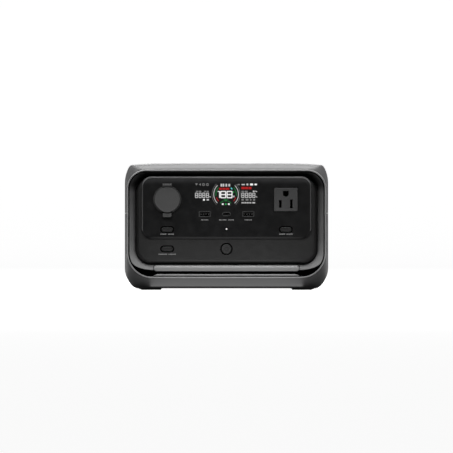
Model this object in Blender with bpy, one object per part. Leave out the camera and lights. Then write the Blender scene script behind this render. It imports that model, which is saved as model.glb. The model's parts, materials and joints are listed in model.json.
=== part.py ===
"""Portable power station: a boxy two-shell case with a recessed front panel, a light bar, a rear loop
handle, and the cells, boards, fan and sockets that it holds.

Frame: metres, +Z up, the front faces -Y, and the origin is on the ground under the middle of the case.
The lengths below are in millimetres, and MM turns them into metres.
"""
import math

import bmesh
import bpy
from mathutils import Matrix, Vector

MM = 0.001
GAP = 0.3                      # air left between two pieces that touch or slide

# ---- Case ----------------------------------------------------------------------------------------
HALF_WIDTH = 117.0
FLOOR_Z, TOP_Z = 2.0, 146.0
FRONT_Y, REAR_Y = -116.0, 76.0
WALL = 2.6
PARTING_Z = 88.5
BEVEL_DEPTH = 16.0             # how far the front edge of the case rolls back
BOTTOM_CORNER = (30.0, 30.0, 52.0)
TOP_CORNER = (40.0, 40.0, 33.0)
CROWN = 1.5

LIP = dict(half=115.0, low=13.4, high=139.3, bottom=(29.0, 30.0, 90.0), top=(25.0, 25.0, 90.0))
LIP_INSIDE = dict(half=112.8, low=15.4, high=137.0, bottom=(27.0, 28.0, 90.0), top=(23.0, 23.0, 90.0))
LIP_DEPTH = 13.0
SHELL_RINGS = (20, 40, 60, 75, 90)     # turns of the front bevel, in degrees
REAR_RIM = 1.2                 # rounding of the rear rim

SCREW_X, SCREW_Z = 101.0, (24.0, 124.0)
SCREW_HEAD_R, SCREW_SHANK_R, SCREW_TIP_Y = 2.9, 1.4, 52.0
BOSS_R, BOSS_START_Y = 4.2, 44.0

FEET = {"foot_front_left": (-88.6, -76.0), "foot_front_right": (88.6, -76.0),
        "foot_rear_left": (-88.6, 52.0), "foot_rear_right": (88.6, 52.0)}
FOOT_HALF = (13.0, 15.0)
FOOT_TAPER, FOOT_CORNER = 2.2, 4.0
FOOT_STEM_R, FOOT_STEM_TOP = 3.0, 6.5

# ---- Front ---------------------------------------------------------------------------------------
BAND_OUTSIDE = dict(half=111.9, low=17.3, high=136.1, bottom=(26.1, 26.1, 90.0), top=(22.0, 22.0, 90.0))
BAND_CHIN = (84.0, 34.5, 25.9, 11.5, 75.0)     # middle x, middle z, radius across, radius up, degrees
BAND_INSIDE = dict(half=105.0, low=28.8, high=131.9, bottom=(18.0, 18.0, 90.0), top=(20.0, 20.0, 90.0))
BAND_Y = (-112.0, -102.0, -98.5)       # outer edge, inner edge, back
POD = dict(half=103.0, low=31.6, high=131.2, bottom=(15.0, 15.0, 90.0), top=(18.5, 18.5, 90.0))
POD_Y = (-107.5, -95.0)
POD_SKIN, POD_ROUND = 2.5, 4.4
POD_WINDOW = ((-94, 94), (63, 127))    # x and z of the opening behind the socket panel
POD_FLANGE = 4.5               # the flange reaches this far out, behind the band
FASCIA = dict(half=98.0, low=59.0, high=130.8, bottom=(11.5, 11.5, 90.0), top=(11.5, 11.5, 90.0))
FASCIA_Y = (-109.9, -107.8)
APRON_TOP_Z = 27.5             # top of the wall that closes the groove under the light bar
LENS_HALF, LENS_Z = 83.8, (21.6, 28.8)
LENS_Y = (-111.6, -105.4, -104.6)      # lower front edge, upper front edge, back

SOCKET_X, SOCKET_Z = 68.2, 104.0       # the round socket is on the left, the outlet on the right
PORT_Z, USB_A_X = 87.4, 25.0
UPPER_BUTTON_Z, LOWER_BUTTON_Z = 69.6, 47.3
PILL, POWER_R = (13.7, 5.6), 5.9
BUTTON_DROP, BUTTON_TRAVEL = 0.4, 0.8  # the faces rest this far behind the panel, and move this far
RECESS, RECESS_DEPTH = 1.3, 0.8        # width and depth of the step round a button
STEM_R = 1.6
SWITCH_Y = -101.7                      # top of the switches behind the buttons
FASCIA_FACE, POD_FACE = FASCIA_Y, (POD_Y[0], POD_Y[0] + POD_SKIN)
# name: (x, z, round, panel that it comes through, y of that panel's face and back)
BUTTONS = {"dc_button": (-SOCKET_X, UPPER_BUTTON_Z, False, "socket_panel", FASCIA_FACE),
           "ac_button": (SOCKET_X, UPPER_BUTTON_Z, False, "socket_panel", FASCIA_FACE),
           "light_button": (-SOCKET_X, LOWER_BUTTON_Z, False, "front_panel", POD_FACE),
           "power_button": (0.0, LOWER_BUTTON_Z, True, "front_panel", POD_FACE)}

STATUS_Z, STATUS_R = 70.2, 1.0
OUTLET_HALF, OUTLET_Y = 13.4, (-110.8, -88.0)
BLADE_X, BLADE_Z, GROUND_Z, GROUND_R = 6.35, 99.0, 111.2, 3.3
BLADE_TALL = {"line": 8.6, "neutral": 10.0}
BLADE_SLOT, CONTACT_CHAMBER = 2.5, (5.6, 13.0)
USB_A, USB_C = (13.2, 5.8), (9.4, 4.3)
PORT_DEPTH_Y = -95.0
USB_A_TONGUE, USB_A_TONGUE_RISE, USB_C_TONGUE = (10.6, 1.6), 1.1, (6.4, 0.8)

CAP_HINGE = (-113.6, 120.7)            # y, z of the socket cap's pin
CAP_FACE_R, SOCKET_RING_R, BORE_R, BARREL_R = 14.4, 16.2, 10.5, 13.5
CAP_THICK, CAP_PLUG_R, CAP_PLUG_Y = 1.5, 9.4, -107.0
CAP_TAB_HALF, CAP_TAB_Z = 5.35, (83.7, 92.0)
CAP_STRAP_HALF, CAP_KNUCKLE_R = 2.6, 1.7
PIN_R, PIN_HOLE_R = 0.7, 1.0
BARREL_END_Y, BORE_END_Y = -62.0, -64.5

# ---- Rear ----------------------------------------------------------------------------------------
REAR_PANEL_Y = (70.0, 72.8)
HANDLE_Z, HANDLE_Y = (114.0, 138.0), 116.0
HANDLE_HALF, ARM_WIDTH, BAR_DEPTH = 95.0, 16.0, 16.0
HANDLE_OUTER_R, HANDLE_INNER_R, HANDLE_ROUND = 14.0, 8.0, 3.0
GRIP_HALF, GRIP_THICK, GRIP_Z = 62.0, 2.4, (117.5, 134.5)
INLET_X, INLET_Z = -50.0, 50.0
INLET_FLANGE, INLET_BODY, INLET_CAVITY = (15.4, 12.0), (13.5, 9.9), (12.1, 8.2)
INLET_BACK_Y, INLET_FLOOR_Y = 54.0, 58.0
INLET_PINS = {"inlet_pin_line": (7.0, -2.0), "inlet_pin_neutral": (-7.0, -2.0), "inlet_pin_earth": (0.0, 2.0)}
INLET_PIN_Y, INLET_PIN_HALF = (50.5, 72.5), (1.0, 2.0)
SOLAR_X, SOLAR_Z = 45.0, 50.0
SOLAR_BODY, SOLAR_CAVITY, SOLAR_POLE = (8.5, 4.6), (7.2, 3.4), (3.6, 1.5)
COVER_HINGE = (76.4, 61.0)
COVER_HALF, COVER_THICK, COVER_RISE = 13.5, 1.8, (-10.5, 7.6)
COVER_STRAP_HALF, COVER_KNUCKLE_R, COVER_PLUG = 3.6, 1.6, (6.6, 2.6)

# ---- Inside --------------------------------------------------------------------------------------
CELL_SIZE = (135.0, 27.0, 70.0)
CELL_FLOOR_Z, CELL_START_Y, CELL_PITCH = 9.0, -60.0, 27.4
CELL_POST_X, CELL_POST_R, CELL_POST_RISE = 52, 6.0, 3.4
TRAY_Z, TRAY_WALL = (5.8, 32.0), 2.2
GRILLE_HALF_Y, GRILLE_Z = 56.0, (36.0, 80.0)
GRILLE_SLOTS, GRILLE_PITCH, GRILLE_SLOT, GRILLE_SLOT_TALL = 13, 8.2, 4.6, 36.0
FAN_X, FAN_Z, FAN_HALF = (96.5, 111.0), 58.0, 25.0
FAN_BORE_R, FAN_HUB_R = 22.8, 9.0
FAN_BLADES, FAN_PITCH = 7, 38.0        # number of blades, and their twist in degrees

BUTTON_BOARD = ((-80, 80), (-98.0, -96.4), (40, 76))       # x, y and z
DISPLAY_GLASS = ((-38, 38), (-107.4, -105.4), (96, 125))
DISPLAY_BOARD = ((-40, 40), (-105.0, -103.4), (95, 126))
OUTPUT_BOARD = ((-42, 42), (-94.6, -93.0), (78.5, 97))
INVERTER_BOARD = ((-76, 76), (-56, 49), (86.0, 87.6))
BMS_BOARD = ((-86.0, -84.4), (-56, 49), (18, 76))
LIGHT_BOARD = ((-80, 80), (23.5, 28.0))                    # x and z
SOLDER = 0.2                           # how far a component reaches into its board
# middle x, other middle, half x, half of the other, and height
DISPLAY_CHIPS = ((-20, 110, 6, 6, 1.6), (14, 108, 9, 4, 1.4))
OUTPUT_CHIPS = ((-30, 88, 5, 5, 8), (-8, 90, 4, 4, 2), (12, 86, 6, 5, 6), (32, 88, 5, 5, 8))
INVERTER_PARTS = ((-64, -38, 9, 13, 20), (-64, 2, 9, 18, 26), (64, -36, 9, 15, 24), (64, 6, 8, 20, 18),
                  (-64, 36, 8, 8, 12), (64, 39, 8, 7, 14))
BMS_CHIPS = 4
FINS, FIN_PITCH, FIN_THICK = 10, 10.0, 2.4
SINK_Z, SINK_Y = (88.2, 92.0, 116.0), (-48.0, 40.0)        # base, root of the fins, and tips

CORNER_STEPS = 7
parts = None
tools = None


# ---- Materials and collections -------------------------------------------------------------------
PALETTE = {
    "shell": ((0.060, 0.060, 0.062), 0.55, 0.0),
    "band": ((0.085, 0.085, 0.088), 0.50, 0.0),
    "pod": ((0.030, 0.030, 0.031), 0.60, 0.0),
    "fascia": ((0.010, 0.010, 0.011), 0.35, 0.0),
    "lens": ((0.62, 0.63, 0.64), 0.40, 0.0),
    "button": ((0.035, 0.035, 0.036), 0.55, 0.0),
    "rubber": ((0.055, 0.055, 0.056), 0.80, 0.0),
    "socket": ((0.050, 0.050, 0.052), 0.55, 0.0),
    "board": ((0.02, 0.14, 0.07), 0.55, 0.0),
    "copper": ((0.80, 0.50, 0.22), 0.30, 1.0),
    "steel": ((0.55, 0.55, 0.57), 0.30, 1.0),
    "cell": ((0.10, 0.22, 0.45), 0.45, 0.2),
    "aluminium": ((0.70, 0.70, 0.72), 0.35, 1.0),
    "glass": ((0.02, 0.02, 0.025), 0.10, 0.0),
    "amber": ((0.80, 0.52, 0.05), 0.45, 0.0),
}


def material(kind):
    if kind not in bpy.data.materials:
        colour, roughness, metallic = PALETTE[kind]
        made = bpy.data.materials.new(kind)
        made.use_nodes = True
        shader = made.node_tree.nodes["Principled BSDF"]
        shader.inputs["Base Color"].default_value = (*colour, 1.0)
        shader.inputs["Roughness"].default_value = roughness
        shader.inputs["Metallic"].default_value = metallic
        made.diffuse_color = (*colour, 1.0)
    return bpy.data.materials[kind]


def place(mesh, name, kind=None):
    """Put a mesh in the scene: a part when it has a material kind, and a hidden tool when it has none."""
    thing = bpy.data.objects.new(name, mesh)
    if kind is None:
        tools.objects.link(thing)
        thing.hide_render = True
        thing.display_type = "WIRE"
    else:
        parts.objects.link(thing)
        mesh.materials.append(material(kind))
    return thing


def finish_mesh(bm, name):
    bmesh.ops.recalc_face_normals(bm, faces=bm.faces)
    mesh = bpy.data.meshes.new(name)
    bm.to_mesh(mesh)
    bm.free()
    return mesh


def smooth(thing, degrees=35):
    thing.data.shade_smooth()
    thing.data.set_sharp_from_angle(angle=math.radians(degrees))


# ---- Basic shapes --------------------------------------------------------------------------------
def box(name, kind, x, y, z):
    """A box between two values along each axis."""
    bm = bmesh.new()
    bmesh.ops.create_cube(bm, size=1.0)
    size = Vector((x[1] - x[0], y[1] - y[0], z[1] - z[0])) * MM
    middle = Vector((x[0] + x[1], y[0] + y[1], z[0] + z[1])) * MM / 2
    bmesh.ops.transform(bm, matrix=Matrix.LocRotScale(middle, None, size), verts=bm.verts)
    return place(finish_mesh(bm, name), name, kind)


TURN = {"X": Matrix.Rotation(math.pi / 2, 4, "Y"), "Y": Matrix.Rotation(math.pi / 2, 4, "X"),
        "Z": Matrix.Identity(4)}


def rod(name, kind, axis, centre, radius, span, segments=32):
    """A cylinder along an axis, between two values on it; centre gives its place on the other axes."""
    bm = bmesh.new()
    bmesh.ops.create_cone(bm, cap_ends=True, segments=segments, radius1=radius * MM, radius2=radius * MM,
                          depth=(span[1] - span[0]) * MM)
    where = list(centre)
    where.insert("XYZ".index(axis), (span[0] + span[1]) / 2)
    move = Matrix.Translation(Vector(where) * MM) @ TURN[axis]
    bmesh.ops.transform(bm, matrix=move, verts=bm.verts)
    return place(finish_mesh(bm, name), name, kind)


def outline_mesh(name, points, half_depth, stand):
    """A flat outline, filled and extruded both ways as a 2D curve, and turned by the matrix stand."""
    curve = bpy.data.curves.new(name, "CURVE")
    curve.dimensions = "2D"
    curve.fill_mode = "BOTH"
    curve.extrude = half_depth * MM
    line = curve.splines.new("POLY")
    line.points.add(len(points) - 1)
    for point, (across, up) in zip(line.points, points):
        point.co = (across * MM, up * MM, 0.0, 1.0)
    line.use_cyclic_u = True
    guide = bpy.data.objects.new(name, curve)
    tools.objects.link(guide)
    evaluated = guide.evaluated_get(bpy.context.evaluated_depsgraph_get())
    flat = bpy.data.meshes.new_from_object(evaluated)
    bpy.data.objects.remove(guide)
    bm = bmesh.new()
    bm.from_mesh(flat)
    bpy.data.meshes.remove(flat)
    bmesh.ops.remove_doubles(bm, verts=bm.verts, dist=1e-6)
    bmesh.ops.dissolve_limit(bm, angle_limit=math.radians(0.5), verts=bm.verts, edges=bm.edges)
    bmesh.ops.transform(bm, matrix=stand, verts=bm.verts)
    return finish_mesh(bm, name)


def front_plate(name, kind, points, y):
    """An outline of (x, z) points, made solid between two y values."""
    stand = Matrix.Translation((0, (y[0] + y[1]) * MM / 2, 0)) @ Matrix.Rotation(math.pi / 2, 4, "X")
    return place(outline_mesh(name, points, (y[1] - y[0]) / 2, stand), name, kind)


def flat_plate(name, kind, points, z):
    """An outline of (x, y) points, made solid between two z values."""
    stand = Matrix.Translation((0, 0, (z[0] + z[1]) * MM / 2))
    return place(outline_mesh(name, points, (z[1] - z[0]) / 2, stand), name, kind)


def outline(half, low, high, bottom, top, crown=0.0, steps=CORNER_STEPS, grow=0.0):
    """A closed outline, symmetric about x = 0, with an elliptic arc at each corner.

    Each corner is (radius across, radius up, degrees): under 90 degrees the arc meets the flat top or
    bottom at a kink. grow moves the outline outwards, or inwards when it is negative.
    """
    half, low, high = half + grow, low - grow, high + grow
    right = []
    for (across, up, degrees), side in ((bottom, -1), (top, 1)):
        across, up = across + grow, up + grow
        sweep = math.radians(degrees)
        level = (low if side < 0 else high - crown) - side * up * math.sin(sweep)
        arc = [(half - across + across * math.cos(sweep * i / steps),
                level + side * up * math.sin(sweep * i / steps)) for i in range(steps + 1)]
        right += arc[::-1] if side < 0 else arc
    end = right[-1][0]
    ridge = []
    if crown:
        ridge = [(end * (1 - i / 3), right[-1][1] + crown * (1 - (1 - i / 3) ** 2)) for i in range(1, 6)]
    return right + ridge + mirrored(right)


def pill(width, height, x, z, steps=6):
    """A slot with round ends."""
    radius = height / 2
    reach = width / 2 - radius
    points = []
    for side in (1, -1):
        for i in range(steps + 1):
            angle = -side * math.pi / 2 + math.pi * i / steps
            points.append((x + side * reach + radius * math.cos(angle), z + radius * math.sin(angle)))
    return points


def rectangle(x, z):
    return [(x[0], z[0]), (x[1], z[0]), (x[1], z[1]), (x[0], z[1])]


def loft(name, kind, rings):
    """Skin a row of (y, outline) rings that closes on itself, as a tube wall does."""
    bm = bmesh.new()
    rows = [[bm.verts.new(Vector((x, y, z)) * MM) for x, z in points] for y, points in rings]
    for first, second in zip(rows, rows[1:] + rows[:1]):
        for i in range(len(first)):
            j = (i + 1) % len(first)
            bm.faces.new((first[i], first[j], second[j], second[i]))
    return place(finish_mesh(bm, name), name, kind)


def round_edges(thing, chosen, width, segments=2):
    """Round the edges of a mesh whose two ends both pass the test chosen(x, y, z), in millimetres."""
    bm = bmesh.new()
    bm.from_mesh(thing.data)
    edges = [e for e in bm.edges if e.calc_face_angle(0.0) > 0.3 and all(chosen(*(v.co / MM)) for v in e.verts)]
    bmesh.ops.bevel(bm, geom=edges, offset=width * MM, segments=segments, profile=0.5, affect="EDGES",
                    clamp_overlap=True)
    bmesh.ops.recalc_face_normals(bm, faces=bm.faces)
    bm.to_mesh(thing.data)
    bm.free()
    return thing


def combine(thing, operation, *others):
    for other in others:
        step = thing.modifiers.new(operation.title(), "BOOLEAN")
        step.operation = operation
        step.solver = "EXACT"
        step.object = other
    return thing


def cut(thing, *others):
    return combine(thing, "DIFFERENCE", *others)


def join(thing, *others):
    return combine(thing, "UNION", *others)


def pivot(thing, point):
    """Move a part's origin to a point on its joint's axis, and leave the part where it is."""
    point = Vector(point) * MM
    thing.data.transform(Matrix.Translation(-point))
    thing.location = point
    return thing


# ---- Case ----------------------------------------------------------------------------------------
def body_section(grow=0.0):
    return outline(HALF_WIDTH, FLOOR_Z, TOP_Z, BOTTOM_CORNER, TOP_CORNER, CROWN, grow=grow)


def lip_section(sizes):
    """The lip's outline, with as many points as the body's, so that the two can be lofted."""
    return outline(**sizes, crown=0.01)


def case_rings():
    body, lip = body_section(), lip_section(LIP)
    rings = [(REAR_Y, body_section(-REAR_RIM)), (REAR_Y - REAR_RIM, body), (FRONT_Y + BEVEL_DEPTH, body)]
    for turn in SHELL_RINGS:
        angle = math.radians(turn)
        share = 1 - math.cos(angle)
        blend = [(a * (1 - share) + c * share, b * (1 - share) + d * share)
                 for (a, b), (c, d) in zip(body, lip)]
        rings.append((FRONT_Y + BEVEL_DEPTH * (1 - math.sin(angle)), blend))
    inside = lip_section(LIP_INSIDE)
    cavity = body_section(-WALL)
    back = FRONT_Y + LIP_DEPTH
    return rings + [(FRONT_Y, inside), (back, inside), (back + 4, cavity), (REAR_Y, cavity)]


def screw_boss(x, z):
    """A boss for a rear screw, with a rib that ties it to the side wall."""
    side = math.copysign(1, x)
    boss = rod(f"boss_{x:.0f}_{z:.0f}", None, "Y", (x, z), BOSS_R, (BOSS_START_Y, REAR_PANEL_Y[0] - GAP), 16)
    reach = sorted((x, side * (HALF_WIDTH - WALL / 2)))
    rib_y = (BOSS_START_Y + 0.5, REAR_PANEL_Y[0] - 1)
    rib = box(f"rib_{x:.0f}_{z:.0f}", None, reach, rib_y, (z - 1.5, z + 1.5))
    hole = rod(f"boss_hole_{x:.0f}_{z:.0f}", None, "Y", (x, z), SCREW_SHANK_R + 0.4,
               (SCREW_TIP_Y - 2, REAR_PANEL_Y[0] + 1), 12)
    return boss, rib, hole


def make_case():
    for name, keep, screw_z in (("upper_shell", 1, SCREW_Z[1]), ("lower_shell", -1, SCREW_Z[0])):
        shell = loft(name, "shell", case_rings())
        away = (PARTING_Z + keep * GAP / 2, PARTING_Z - keep * 200)
        cut(shell, box(f"{name}_split", None, (-150, 150), (-150, 150), sorted(away)))
        for x in (-SCREW_X, SCREW_X):
            boss, rib, hole = screw_boss(x, screw_z)
            join(shell, rib, boss)
            cut(shell, hole)
        if keep < 0:
            windows = [box(f"grille_window_{side}", None, sorted((side * 100, side * 130)),
                           (-GRILLE_HALF_Y, GRILLE_HALF_Y), GRILLE_Z) for side in (-1, 1)]
            cut(shell, *windows, *(foot_hole(x, y) for x, y in FEET.values()))
        smooth(shell)


def foot_hole(x, y):
    return rod(f"foot_hole_{x:.0f}_{y:.0f}", None, "Z", (x, y), FOOT_STEM_R + GAP, (-1, 8), 16)


def make_feet():
    """Rubber pads with tapered sides, on a stem that plugs into the floor of the case."""
    for name, (x, y) in FEET.items():
        bm = bmesh.new()
        bmesh.ops.create_cube(bm, size=1.0)
        height = FLOOR_Z - GAP
        for vert in bm.verts:
            taper = FOOT_TAPER if vert.co.z < 0 else 0
            vert.co = Vector((x + vert.co.x * 2 * (FOOT_HALF[0] - taper),
                              y + vert.co.y * 2 * (FOOT_HALF[1] - taper),
                              height * (vert.co.z + 0.5))) * MM
        corners = [e for e in bm.edges if abs(e.verts[0].co.z - e.verts[1].co.z) > MM]
        bmesh.ops.bevel(bm, geom=corners, offset=FOOT_CORNER * MM, segments=3, profile=0.5, affect="EDGES")
        foot = place(finish_mesh(bm, name), name, "rubber")
        join(foot, rod(f"{name}_stem", None, "Z", (x, y), FOOT_STEM_R, (height - 0.7, FOOT_STEM_TOP), 16))


# ---- Front ---------------------------------------------------------------------------------------
def band_outline():
    """The band's outer edge: it follows the lip, and rises off it along an ellipse below."""
    points = outline(**BAND_OUTSIDE)
    x, z, across, up, degrees = BAND_CHIN
    steps = CORNER_STEPS - 3
    turns = [math.radians(degrees * i / steps) for i in range(steps + 1)]
    chin = [(x + across * math.sin(turn), z - up * math.cos(turn)) for turn in turns]
    lip_x = BAND_OUTSIDE["half"] - BAND_OUTSIDE["bottom"][0]
    lip_z = BAND_OUTSIDE["low"] + BAND_OUTSIDE["bottom"][1]
    radius = BAND_OUTSIDE["bottom"][0]
    join_angle = math.asin((lip_z - chin[-1][1]) / radius)
    for share in (2 / 3, 1 / 3, 0):
        angle = join_angle * share
        chin.append((lip_x + radius * math.cos(angle), lip_z - radius * math.sin(angle)))
    count = len(chin)
    return chin + points[count:-count] + mirrored(chin)


def make_band():
    outside, inside = band_outline(), outline(**BAND_INSIDE)
    outer_y, inner_y, back_y = BAND_Y
    band = loft("front_bezel", "band", [(outer_y, outside), (inner_y, inside), (back_y, inside),
                                        (back_y, outside)])
    apron = front_plate("apron", None, outline(**LIP_INSIDE, grow=-0.5), (inner_y - 0.2, back_y))
    above = box("above_apron", None, (-130, 130), (-110, -90), (APRON_TOP_Z, 150))
    pocket = box("lens_pocket", None, (-LENS_HALF - GAP, LENS_HALF + GAP), (-125, inner_y - 0.2),
                 (10, LENS_Z[1] + GAP))
    smooth(cut(join(band, cut(apron, above)), pocket))


def make_light():
    low_y, high_y, back_y = LENS_Y
    width, height = 2 * LENS_HALF, LENS_Z[1] - LENS_Z[0]
    middle = sum(LENS_Z) / 2
    lens = front_plate("light_lens", "lens", pill(width, height, 0, middle), (low_y, back_y))
    slope = box("lens_slope", None, (-100, 100), (-20, 0), (-10, 30))
    tilt = math.atan2(high_y - low_y, height)
    slope.data.transform(Matrix.Rotation(-tilt, 4, "X"))
    slope.data.transform(Matrix.Translation(Vector((0, low_y + 0.9, LENS_Z[0])) * MM))
    smooth(cut(lens, slope))
    across, up = LIGHT_BOARD
    box("light_board", "board", across, (back_y + GAP, back_y + 1.9), up)


def button_shape(x, z, size, round_button):
    """The outline of a button, larger by the amounts in size."""
    if round_button:
        return [(x + (POWER_R + size) * math.cos(math.tau * i / 28),
                 z + (POWER_R + size) * math.sin(math.tau * i / 28)) for i in range(28)]
    return pill(PILL[0] + 2 * size, PILL[1] + 2 * size, x, z)


def button_openings(panel_name):
    """A shallow recess and a through hole for each button of one panel."""
    made = []
    for name, (x, z, is_round, panel, (face, back)) in BUTTONS.items():
        if panel == panel_name:
            recess = button_shape(x, z, RECESS, is_round)
            made.append(front_plate(f"{name}_recess", None, recess, (face - 2, face + RECESS_DEPTH)))
            hole = button_shape(x, z, GAP, is_round)
            made.append(front_plate(f"{name}_hole", None, hole, (face - 2, back + 1)))
    return made


def make_buttons():
    for name, (x, z, is_round, _, (face, back)) in BUTTONS.items():
        button = front_plate(name, "button", button_shape(x, z, 0, is_round), (face + BUTTON_DROP, back + 0.8))
        collar = button_shape(x, z, 1.0, is_round)
        flange = front_plate(f"{name}_flange", None, collar, (back + GAP, back + 1.3))
        stem = rod(f"{name}_stem", None, "Y", (x, z), STEM_R, (back + 1, SWITCH_Y - BUTTON_TRAVEL - 0.2), 12)
        pivot(smooth_part(join(button, flange, stem)), (x, face, z))


def smooth_part(thing):
    smooth(thing)
    return thing


def make_panels():
    pod = front_plate("front_panel", "pod", outline(**POD), POD_Y)
    round_edges(pod, lambda x, y, z: y < POD_Y[0] + 0.1, POD_ROUND, 3)
    pocket = front_plate("pod_pocket", None, outline(**POD, grow=-2.4), (POD_Y[0] + POD_SKIN, POD_Y[1] + 5))
    window = box("pod_window", None, POD_WINDOW[0], (-120, -80), POD_WINDOW[1])
    flange = front_plate("pod_flange", None, outline(**POD, grow=POD_FLANGE), (BAND_Y[2] + GAP, POD_Y[1] - 1.5))
    smooth(cut(join(pod, flange), pocket, window, *button_openings("front_panel")))

    fascia = front_plate("socket_panel", "fascia", outline(**FASCIA), FASCIA_Y)
    round_edges(fascia, lambda x, y, z: y < FASCIA_Y[0] + 0.1, 1.5, 2)
    span = (-120.0, -100.0)
    holes = [rod("socket_hole", None, "Y", (-SOCKET_X, SOCKET_Z), BARREL_R + GAP, span),
             rod("light_pipe_hole", None, "Y", (0, STATUS_Z), STATUS_R + GAP, span, 12),
             front_plate("outlet_hole", None, outline_square(OUTLET_HALF + GAP, SOCKET_X, SOCKET_Z), span),
             front_plate("usb_c_hole", None, pill(*(s + 0.8 for s in USB_C), 0, PORT_Z), span)]
    for x in (-USB_A_X, USB_A_X):
        half = [s / 2 + 0.4 for s in USB_A]
        holes.append(box(f"usb_a_hole_{x:.0f}", None, (x - half[0], x + half[0]), span,
                         (PORT_Z - half[1], PORT_Z + half[1])))
    smooth(cut(fascia, *holes, *button_openings("socket_panel")))
    rod("status_light_pipe", "lens", "Y", (0, STATUS_Z), STATUS_R, (FASCIA_Y[0] + 0.1, -98.6), 12)


# ---- Sockets and ports ---------------------------------------------------------------------------
def outline_square(half, x, z):
    return rectangle((x - half, x + half), (z - half, z + half))


def ground_slot(grow, x):
    """The D of the earth hole: flat on top, and round below."""
    radius = GROUND_R + grow
    arc = [(x + radius * math.cos(math.pi + math.pi * i / 8),
            GROUND_Z - 0.3 + radius * math.sin(math.pi + math.pi * i / 8)) for i in range(9)]
    return arc + [(x + radius, GROUND_Z + 2.8 + grow), (x - radius, GROUND_Z + 2.8 + grow)]


def make_outlet():
    x = SOCKET_X
    face = front_plate("ac_outlet_face", "socket", outline_square(OUTLET_HALF, x, SOCKET_Z), OUTLET_Y)
    round_edges(face, lambda px, py, pz: py < OUTLET_Y[0] + 0.1, 0.8, 2)
    throat = OUTLET_Y[0] + 4
    cutters = [front_plate("ground_hole", None, ground_slot(0, x), (-115, -80))]
    slot = BLADE_SLOT / 2
    room_x, room_z = (size / 2 for size in CONTACT_CHAMBER)
    for name, blade_x in (("line", x - BLADE_X), ("neutral", x + BLADE_X)):
        tall = BLADE_TALL[name]
        cutters.append(box(f"{name}_slot", None, (blade_x - slot, blade_x + slot), (-115, throat + 2),
                           (BLADE_Z - tall / 2, BLADE_Z + tall / 2)))
        cutters.append(box(f"{name}_chamber", None, (blade_x - room_x, blade_x + room_x), (throat, -80),
                           (BLADE_Z - room_z, BLADE_Z + room_z)))
        clip = box(f"outlet_{name}_contact", "copper", (blade_x - room_x + 0.4, blade_x + room_x - 0.4),
                   (throat + 0.4, -84.5), (BLADE_Z - room_z + 1, BLADE_Z + room_z - 1))
        cut(clip, box(f"{name}_clip_gap", None, (blade_x - 1.4, blade_x + 1.4), (throat - 1, -90),
                      (BLADE_Z - 7, BLADE_Z + 7)))
    smooth(cut(face, *cutters))
    earth = front_plate("outlet_ground_contact", "copper", ground_slot(-GAP, x), (-97, -84.5))
    cut(earth, front_plate("earth_gap", None, ground_slot(-1.1, x), (-100, -88)))


def make_car_socket():
    x, z = -SOCKET_X, SOCKET_Z
    hinge_y, hinge_z = CAP_HINGE
    flange_y = (FASCIA_Y[0] - GAP - 1.4, FASCIA_Y[0] - GAP)
    housing = rod("car_socket_housing", "socket", "Y", (x, z), SOCKET_RING_R, flange_y, 40)
    barrel = rod("socket_barrel", None, "Y", (x, z), BARREL_R, (flange_y[1] - 1, BARREL_END_Y), 40)
    ears = [box(f"hinge_ear_{side}", None, sorted((x + side * 2.9, x + side * 5.3)),
                (hinge_y - 1.9, flange_y[1]), (118.6, hinge_z + 1.9)) for side in (-1, 1)]
    bore = rod("socket_bore", None, "Y", (x, z), BORE_R, (-130, BORE_END_Y), 40)
    exit_hole = rod("contact_hole", None, "Y", (x, z), 2.3, (-70, -60), 16)
    pin_hole = rod("ear_pin_hole", None, "X", (hinge_y, hinge_z), PIN_HOLE_R, (x - 8, x + 8), 12)
    smooth(cut(join(housing, barrel, *ears), bore, exit_hole, pin_hole))

    rod("cap_hinge_pin", "steel", "X", (hinge_y, hinge_z), PIN_R, (x - 5.2, x + 5.2), 12)
    contact = rod("car_socket_contact", "copper", "Y", (x, z), 2.0, (-67.5, -58.0), 16)
    join(contact, rod("contact_head", None, "Y", (x, z), 3.4, (-69.0, -67.2), 16))

    face_y = (flange_y[0] - GAP - CAP_THICK, flange_y[0] - GAP)
    cap = rod("car_socket_cap", "rubber", "Y", (x, z), CAP_FACE_R, face_y, 40)
    round_edges(cap, lambda px, py, pz: py < face_y[0] + 0.1, 0.5, 1)
    plug = rod("cap_plug", None, "Y", (x, z), CAP_PLUG_R, (face_y[1] - 0.5, CAP_PLUG_Y), 32)
    tab = box("cap_tab", None, (x - CAP_TAB_HALF, x + CAP_TAB_HALF), face_y, CAP_TAB_Z)
    across = (x - CAP_STRAP_HALF, x + CAP_STRAP_HALF)
    strap = box("cap_strap", None, across, face_y, (z + 12, hinge_z))
    knuckle = rod("cap_knuckle", None, "X", (hinge_y, hinge_z), CAP_KNUCKLE_R, across, 16)
    hole = rod("knuckle_hole", None, "X", (hinge_y, hinge_z), PIN_HOLE_R, (x - 6, x + 6), 12)
    pivot(smooth_part(cut(join(cap, plug, tab, strap, knuckle), hole)), (x, hinge_y, hinge_z))


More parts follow.
